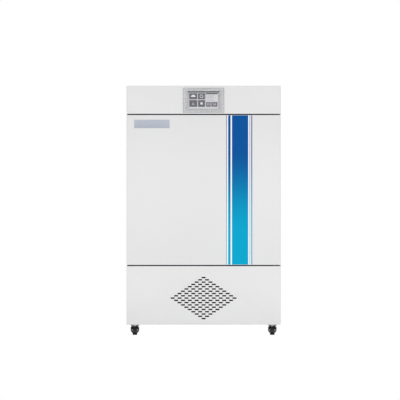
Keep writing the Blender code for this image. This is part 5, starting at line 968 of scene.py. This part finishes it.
def on_pin(face):
    """Whether a face of the inlet has all its corners on a pin, inside the socket."""
    corners = [inlet.data.vertices[corner].co for corner in face.vertices]
    return max(c.y for c in corners) < inlet_high.y - socket_rim and all(
        abs(c.x - socket_x) < pins_half_width and abs(c.z - socket_z) < pins_half_height for c in corners
    )


paint_faces(inlet, nickel, on_pin)
rocker = copy_of("power_switch", "rocker_moulding")
settle(rocker, black_abs, "power_switch", "power_switch", smooth=20)

# White pad-printed marks on the rocker: a bar for on and a ring for off, each on its own sloping half. The
# ink is thin and flat, with a slight unevenness.
mark_ink = grained("pad_printed_white", "#DADADA", "#F0F0F0", 1500.0, detail=1.0, Roughness=0.5)
mark_size, bar_share, ring_line, ink_height = 0.0046, 0.18, 0.0006, 0.0001
rocker_slopes = [face for face in rocker.data.polygons if face.normal.y > 0.8]
rocker_slopes.sort(key=lambda face: face.center.z)
bpy.ops.object.select_all(action="DESELECT")
bpy.ops.mesh.primitive_plane_add(size=mark_size)
on_bar = bpy.context.object
on_bar.name = "rocker_on_bar"
edit(on_bar)
bpy.ops.mesh.select_all(action="SELECT")
bpy.ops.transform.resize(value=(bar_share, 1.0, 1.0))
bpy.ops.object.mode_set(mode="OBJECT")
bpy.ops.object.select_all(action="DESELECT")
bpy.ops.mesh.primitive_circle_add(vertices=32, radius=mark_size / 2, fill_type="NGON")
off_ring = bpy.context.object
off_ring.name = "rocker_off_ring"
leave_outline(off_ring, ring_line)
for mark, slope in ((on_bar, rocker_slopes[-1]), (off_ring, rocker_slopes[0])):
    thicken(mark, (0, 0, ink_height))
    lay = slope.normal.to_track_quat("Z", "Y").to_matrix().to_4x4()
    mark.data.transform(Matrix.Translation(slope.center) @ lay)
    settle(mark, mark_ink, "power_switch")

# The rear panel's four wall spacers are black moulded caps on the white sheet.
rear_sheet_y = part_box("outer_case")[1].y
rear = copy_of("rear_panel", "rear_panel_sheet")
settle(rear, powder_white, "cabinet", "rear_panel")
paint_faces(rear, black_abs, lambda face: face.center.y > rear_sheet_y + 0.0005)

# Zinc plating that has dulled a little: bluish grey, with a soft spangle a few millimetres wide.
zinc_plate = grained("zinc_plate", "#83888D", "#A3A8AD", 260.0, Metallic=0.9, Roughness=0.35)

# One pan-head screw: a short cylinder with a rounded face, and a cross recess cut by two blades.
screw_head_radius, screw_head_height, screw_head_round = 0.0042, 0.0026, 0.0014
bpy.ops.object.select_all(action="DESELECT")
bpy.ops.mesh.primitive_cylinder_add(
    vertices=24, radius=screw_head_radius, depth=screw_head_height, rotation=(math.radians(90), 0, 0)
)
screw = bpy.context.object
screw.name = "pan_head_screw"
bpy.ops.object.transform_apply(location=True, rotation=True, scale=True)
edit(screw)
pick_edges(screw, lambda a, b: a.y > 0.001 and b.y > 0.001)
bpy.ops.mesh.bevel(offset=screw_head_round, segments=3, affect="EDGES")
bpy.ops.object.mode_set(mode="OBJECT")
for blade_size in ((0.0009, 0.0022, 0.0044), (0.0044, 0.0021, 0.0009)):
    bpy.ops.object.select_all(action="DESELECT")
    bpy.ops.mesh.primitive_cube_add(size=1, location=(0, screw_head_height / 2, 0), scale=blade_size)
    blade = bpy.context.object
    bpy.ops.object.select_all(action="DESELECT")
    screw.select_set(True)
    bpy.context.view_layer.objects.active = screw
    slot_cut = screw.modifiers.new("cross_recess", "BOOLEAN")
    slot_cut.object = blade
    slot_cut.solver = "EXACT"
    bpy.ops.object.modifier_apply(modifier="cross_recess")
    bpy.data.objects.remove(blade, do_unlink=True)

# Three screws along the panel's foot and head, five up each side, and two in the mains inlet's flange. Each
# head sinks 0.1 mm into the face that it lies on.
sheet_places = [(x, z) for z in (0.075, 1.205) for x in (-0.240, 0.0, 0.240)]
sheet_places += [(x, z) for x in (-0.366, 0.366) for z in (0.25, 0.45, 0.65, 0.85, 1.05)]
screw_places = [(x, rear_sheet_y, z) for x, z in sheet_places]
screw_places += [(x, inlet_high.y, 0.119) for x in (0.2528, 0.2872)]
head_lift = Vector((0, screw_head_height / 2 - 0.0001, 0))
heads = [
    copy_piece(screw, f"rear_screw_{number}", Vector(place) + head_lift)
    for number, place in enumerate(screw_places, start=1)
]
bpy.data.objects.remove(screw, do_unlink=True)
settle(join_pieces(heads, "rear_panel_screws"), zinc_plate, "cabinet")


# The casters: a zinc-plated top plate with four bolts, a blackened ball race, a pressed fork in black enamel,
# a polyurethane tyre cast round a grey moulded hub, and on the front two a ribbed brake pedal. Each part
# turns with its own body. One wheel is turned up from a ring and copied to the other three axles.
def turned_ring(name, middle, section, sides=56):
    """A closed ring about an axle along X: a circle is extruded from one point of its section to the next."""
    bpy.ops.object.select_all(action="DESELECT")
    bpy.ops.mesh.primitive_circle_add(
        vertices=sides, radius=1, location=middle, rotation=(0, math.radians(90), 0)
    )
    made = bpy.context.object
    made.name = name
    bpy.ops.object.transform_apply(location=True, rotation=True, scale=True)
    edit(made)
    bpy.ops.mesh.select_mode(type="EDGE")
    bpy.ops.mesh.select_all(action="SELECT")
    across, radius = section[0]
    bpy.ops.transform.resize(value=(1, radius, radius), center_override=middle)
    bpy.ops.transform.translate(value=(across, 0, 0))
    for next_across, next_radius in (*section[1:], section[0]):
        bpy.ops.mesh.extrude_edges_move(TRANSFORM_OT_translate={"value": (next_across - across, 0, 0)})
        grow = next_radius / radius
        bpy.ops.transform.resize(value=(1, grow, grow), center_override=middle)
        across, radius = next_across, next_radius
    bpy.ops.mesh.select_all(action="SELECT")
    bpy.ops.mesh.remove_doubles(threshold=0.00001)
    bpy.ops.mesh.normals_make_consistent(inside=False)
    bpy.ops.object.mode_set(mode="OBJECT")
    return made


tyre, where = start_material("cast_polyurethane_black")
# Cast polyurethane: near black with a satin skin, fine mould marks and patches of pale floor dust.
marks = add_node(tyre, "ShaderNodeTexNoise", {"Vector": where, "Scale": 700.0, "Detail": 2.0})
dust = add_node(tyre, "ShaderNodeTexNoise", {"Vector": where, "Scale": 120.0, "Detail": 3.0})
dust = add_node(
    tyre, "ShaderNodeMapRange", {"Value": (dust, 0), "From Min": 0.55, "From Max": 0.80, "To Max": 0.5}
)
tone = add_node(
    tyre, "ShaderNodeMix", {0: (marks, 0), 6: linear("#0E0E0F"), 7: linear("#1A1A1C")}, data_type="RGBA"
)
tone = add_node(tyre, "ShaderNodeMix", {0: (dust, 0), 6: (tone, 2), 7: linear("#3C3B39")}, data_type="RGBA")
bump = add_node(tyre, "ShaderNodeBump", {"Height": (marks, 0), "Strength": 0.2, "Distance": 0.0002})
end_material(tyre, Base_Color=(tone, 2), Roughness=0.5, Normal=(bump, 0))

# Moulded polypropylene: dark grey, waxy, with faint flow marks from the gate.
hub_grey = grained(
    "moulded_grey_polypropylene", "#37383A", "#454648", 160.0, detail=2.0, bump=(0.15, 0.0002), Roughness=0.45
)

# Half of each section, from the middle of the tread outwards: (along the axle, radius).
tread_half = (
    (0.0030, 0.0180), (0.0032, 0.0173), (0.0042, 0.0173), (0.0044, 0.0180),
    (0.0072, 0.0179), (0.0094, 0.0175), (0.0109, 0.0166), (0.0114, 0.0152),
    (0.0112, 0.0124), (0.0104, 0.0121), (0.0096, 0.0113),
)
hub_half = (
    (0.0095, 0.0112), (0.0092, 0.0100), (0.0058, 0.0090),
    (0.0055, 0.0064), (0.0086, 0.0054), (0.0086, 0.0035),
)


def mirrored(half):
    """A whole section from its half."""
    return [*half, *[(-across, radius) for across, radius in reversed(half)]]


first_low, first_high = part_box("caster_wheel_front_left")
first_axle = (first_low + first_high) / 2
first_tyre = turned_ring("wheel_tyre_front_left", first_axle, mirrored(tread_half))
first_hub = turned_ring("wheel_hub_front_left", first_axle, mirrored(hub_half), sides=40)

# A black moulded thread guard stands in the gap between each side of the wheel and the fork's leg.
guard_section = ((0.0119, 0.0035), (0.0119, 0.0104), (0.0127, 0.0098), (0.0127, 0.0035))
guard_rings = []
for number, side in enumerate((-1, 1), start=1):
    guard_side = [(side * across, radius) for across, radius in guard_section]
    guard_rings.append(turned_ring(f"thread_guard_{number}", first_axle, guard_side, sides=40))
first_guards = join_pieces(guard_rings, "thread_guards_front_left")

race_cover_height, fork_leg_face = 0.0058, 0.0151
for corner_name in ("rear_right", "rear_left", "front_right", "front_left"):
    plate_low, plate_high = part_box("caster_plate_" + corner_name)
    plate_middle = (plate_low + plate_high) / 2
    plate = copy_of("caster_plate_" + corner_name, "caster_top_plate_" + corner_name)
    race_step = plate_high.z - race_cover_height
    edit(plate)
    bpy.ops.mesh.select_all(action="SELECT")
    bpy.ops.mesh.bisect(plane_co=(0, 0, race_step), plane_no=(0, 0, 1))
    bpy.ops.object.mode_set(mode="OBJECT")
    settle(plate, zinc_plate, "cabinet", "caster_plate_" + corner_name, smooth=35)
    # The lower race ring and the kingpin are blackened, the plate, its bolts and the race's cover are zinc.
    paint_faces(plate, blackened, lambda face: face.center.z < race_step)

    fork = copy_of("caster_fork_" + corner_name, "pressed_fork_" + corner_name)
    settle(fork, enamel, "swivel_" + corner_name, "caster_fork_" + corner_name, smooth=35)
    # The ends of the axle bolt and the pedal's pin stand out of the fork's legs in zinc.
    paint_faces(
        fork,
        zinc_plate,
        lambda face: face.center.z < first_high.z and abs(face.center.x - plate_middle.x) > fork_leg_face,
    )

    wheel_low, wheel_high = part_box("caster_wheel_" + corner_name)
    shift = (wheel_low + wheel_high) / 2 - first_axle
    if corner_name == "front_left":
        wheel_tyre, wheel_hub, guards = first_tyre, first_hub, first_guards
    else:
        guards = copy_piece(first_guards, "thread_guards_" + corner_name, shift)
        wheel_tyre = copy_piece(first_tyre, "wheel_tyre_" + corner_name, shift)
        wheel_hub = copy_piece(first_hub, "wheel_hub_" + corner_name, shift)
    settle(wheel_tyre, tyre, "wheel_" + corner_name, "caster_wheel_" + corner_name, smooth=35)
    settle(wheel_hub, hub_grey, "wheel_" + corner_name, smooth=35)
    settle(guards, black_abs, "swivel_" + corner_name, smooth=35)


# The brake pedals of the two front casters: moulded in black, with three grip ribs across the sloping tread
# and a flange that folds in from the front edge of each ear, down beside the wheel.
def block(name, size):
    """A plain block about the origin."""
    bpy.ops.object.select_all(action="DESELECT")
    bpy.ops.mesh.primitive_cube_add(size=1, location=(0, 0, 0))
    made = bpy.context.object
    made.name = name
    made.scale = size
    bpy.ops.object.transform_apply(location=True, rotation=True, scale=True)
    return made


rib_size, rib_round, rib_pitch = (0.030, 0.0012, 0.0010), 0.00035, 0.0032
flange_size, flange_round, flange_lean = (0.0049, 0.0012, 0.0098), 0.0004, math.radians(20)
flange_out, flange_in, flange_up = 0.0182, 0.0031, 0.0050
for side in ("left", "right"):
    pedal_node = "brake_pedal_front_" + side
    pedal = copy_of(pedal_node, "moulded_brake_pedal_" + side)
    treads = [face for face in pedal.data.polygons if face.normal.y < -0.5 and face.normal.z > 0.4]
    tread = max(treads, key=lambda face: face.area)
    tread_middle, tread_normal = tread.center.copy(), tread.normal.copy()
    settle(pedal, black_abs, "pedal_front_" + side, pedal_node)
    down_slope = tread_normal.cross(Vector((1, 0, 0)))
    lay = tread_normal.to_track_quat("Z", "Y").to_matrix().to_4x4()
    for number in (1, 2, 3):
        rib = block(f"pedal_rib_{side}_{number}", rib_size)
        soften(rib, rib_round, lambda a, b: a.z > 0 and b.z > 0, segments=2)
        rib_middle = tread_middle + down_slope * (number - 2) * rib_pitch
        rib.data.transform(Matrix.Translation(rib_middle) @ lay)
        settle(rib, black_abs, "pedal_front_" + side)
    pedal_low, pedal_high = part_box(pedal_node)
    pedal_x = (pedal_low.x + pedal_high.x) / 2
    for flange_side in (-1, 1):
        which = "inner" if flange_side * pedal_x < 0 else "outer"
        flange = block(f"pedal_flange_{side}_{which}", flange_size)
        soften(flange, flange_round, lambda a, b: a.y < 0 and b.y < 0, segments=2)
        place = Vector((pedal_x + flange_side * flange_out, pedal_low.y + flange_in, pedal_low.z + flange_up))
        flange.data.transform(Matrix.Translation(place) @ Matrix.Rotation(flange_lean, 4, "X"))
        settle(flange, black_abs, "pedal_front_" + side)
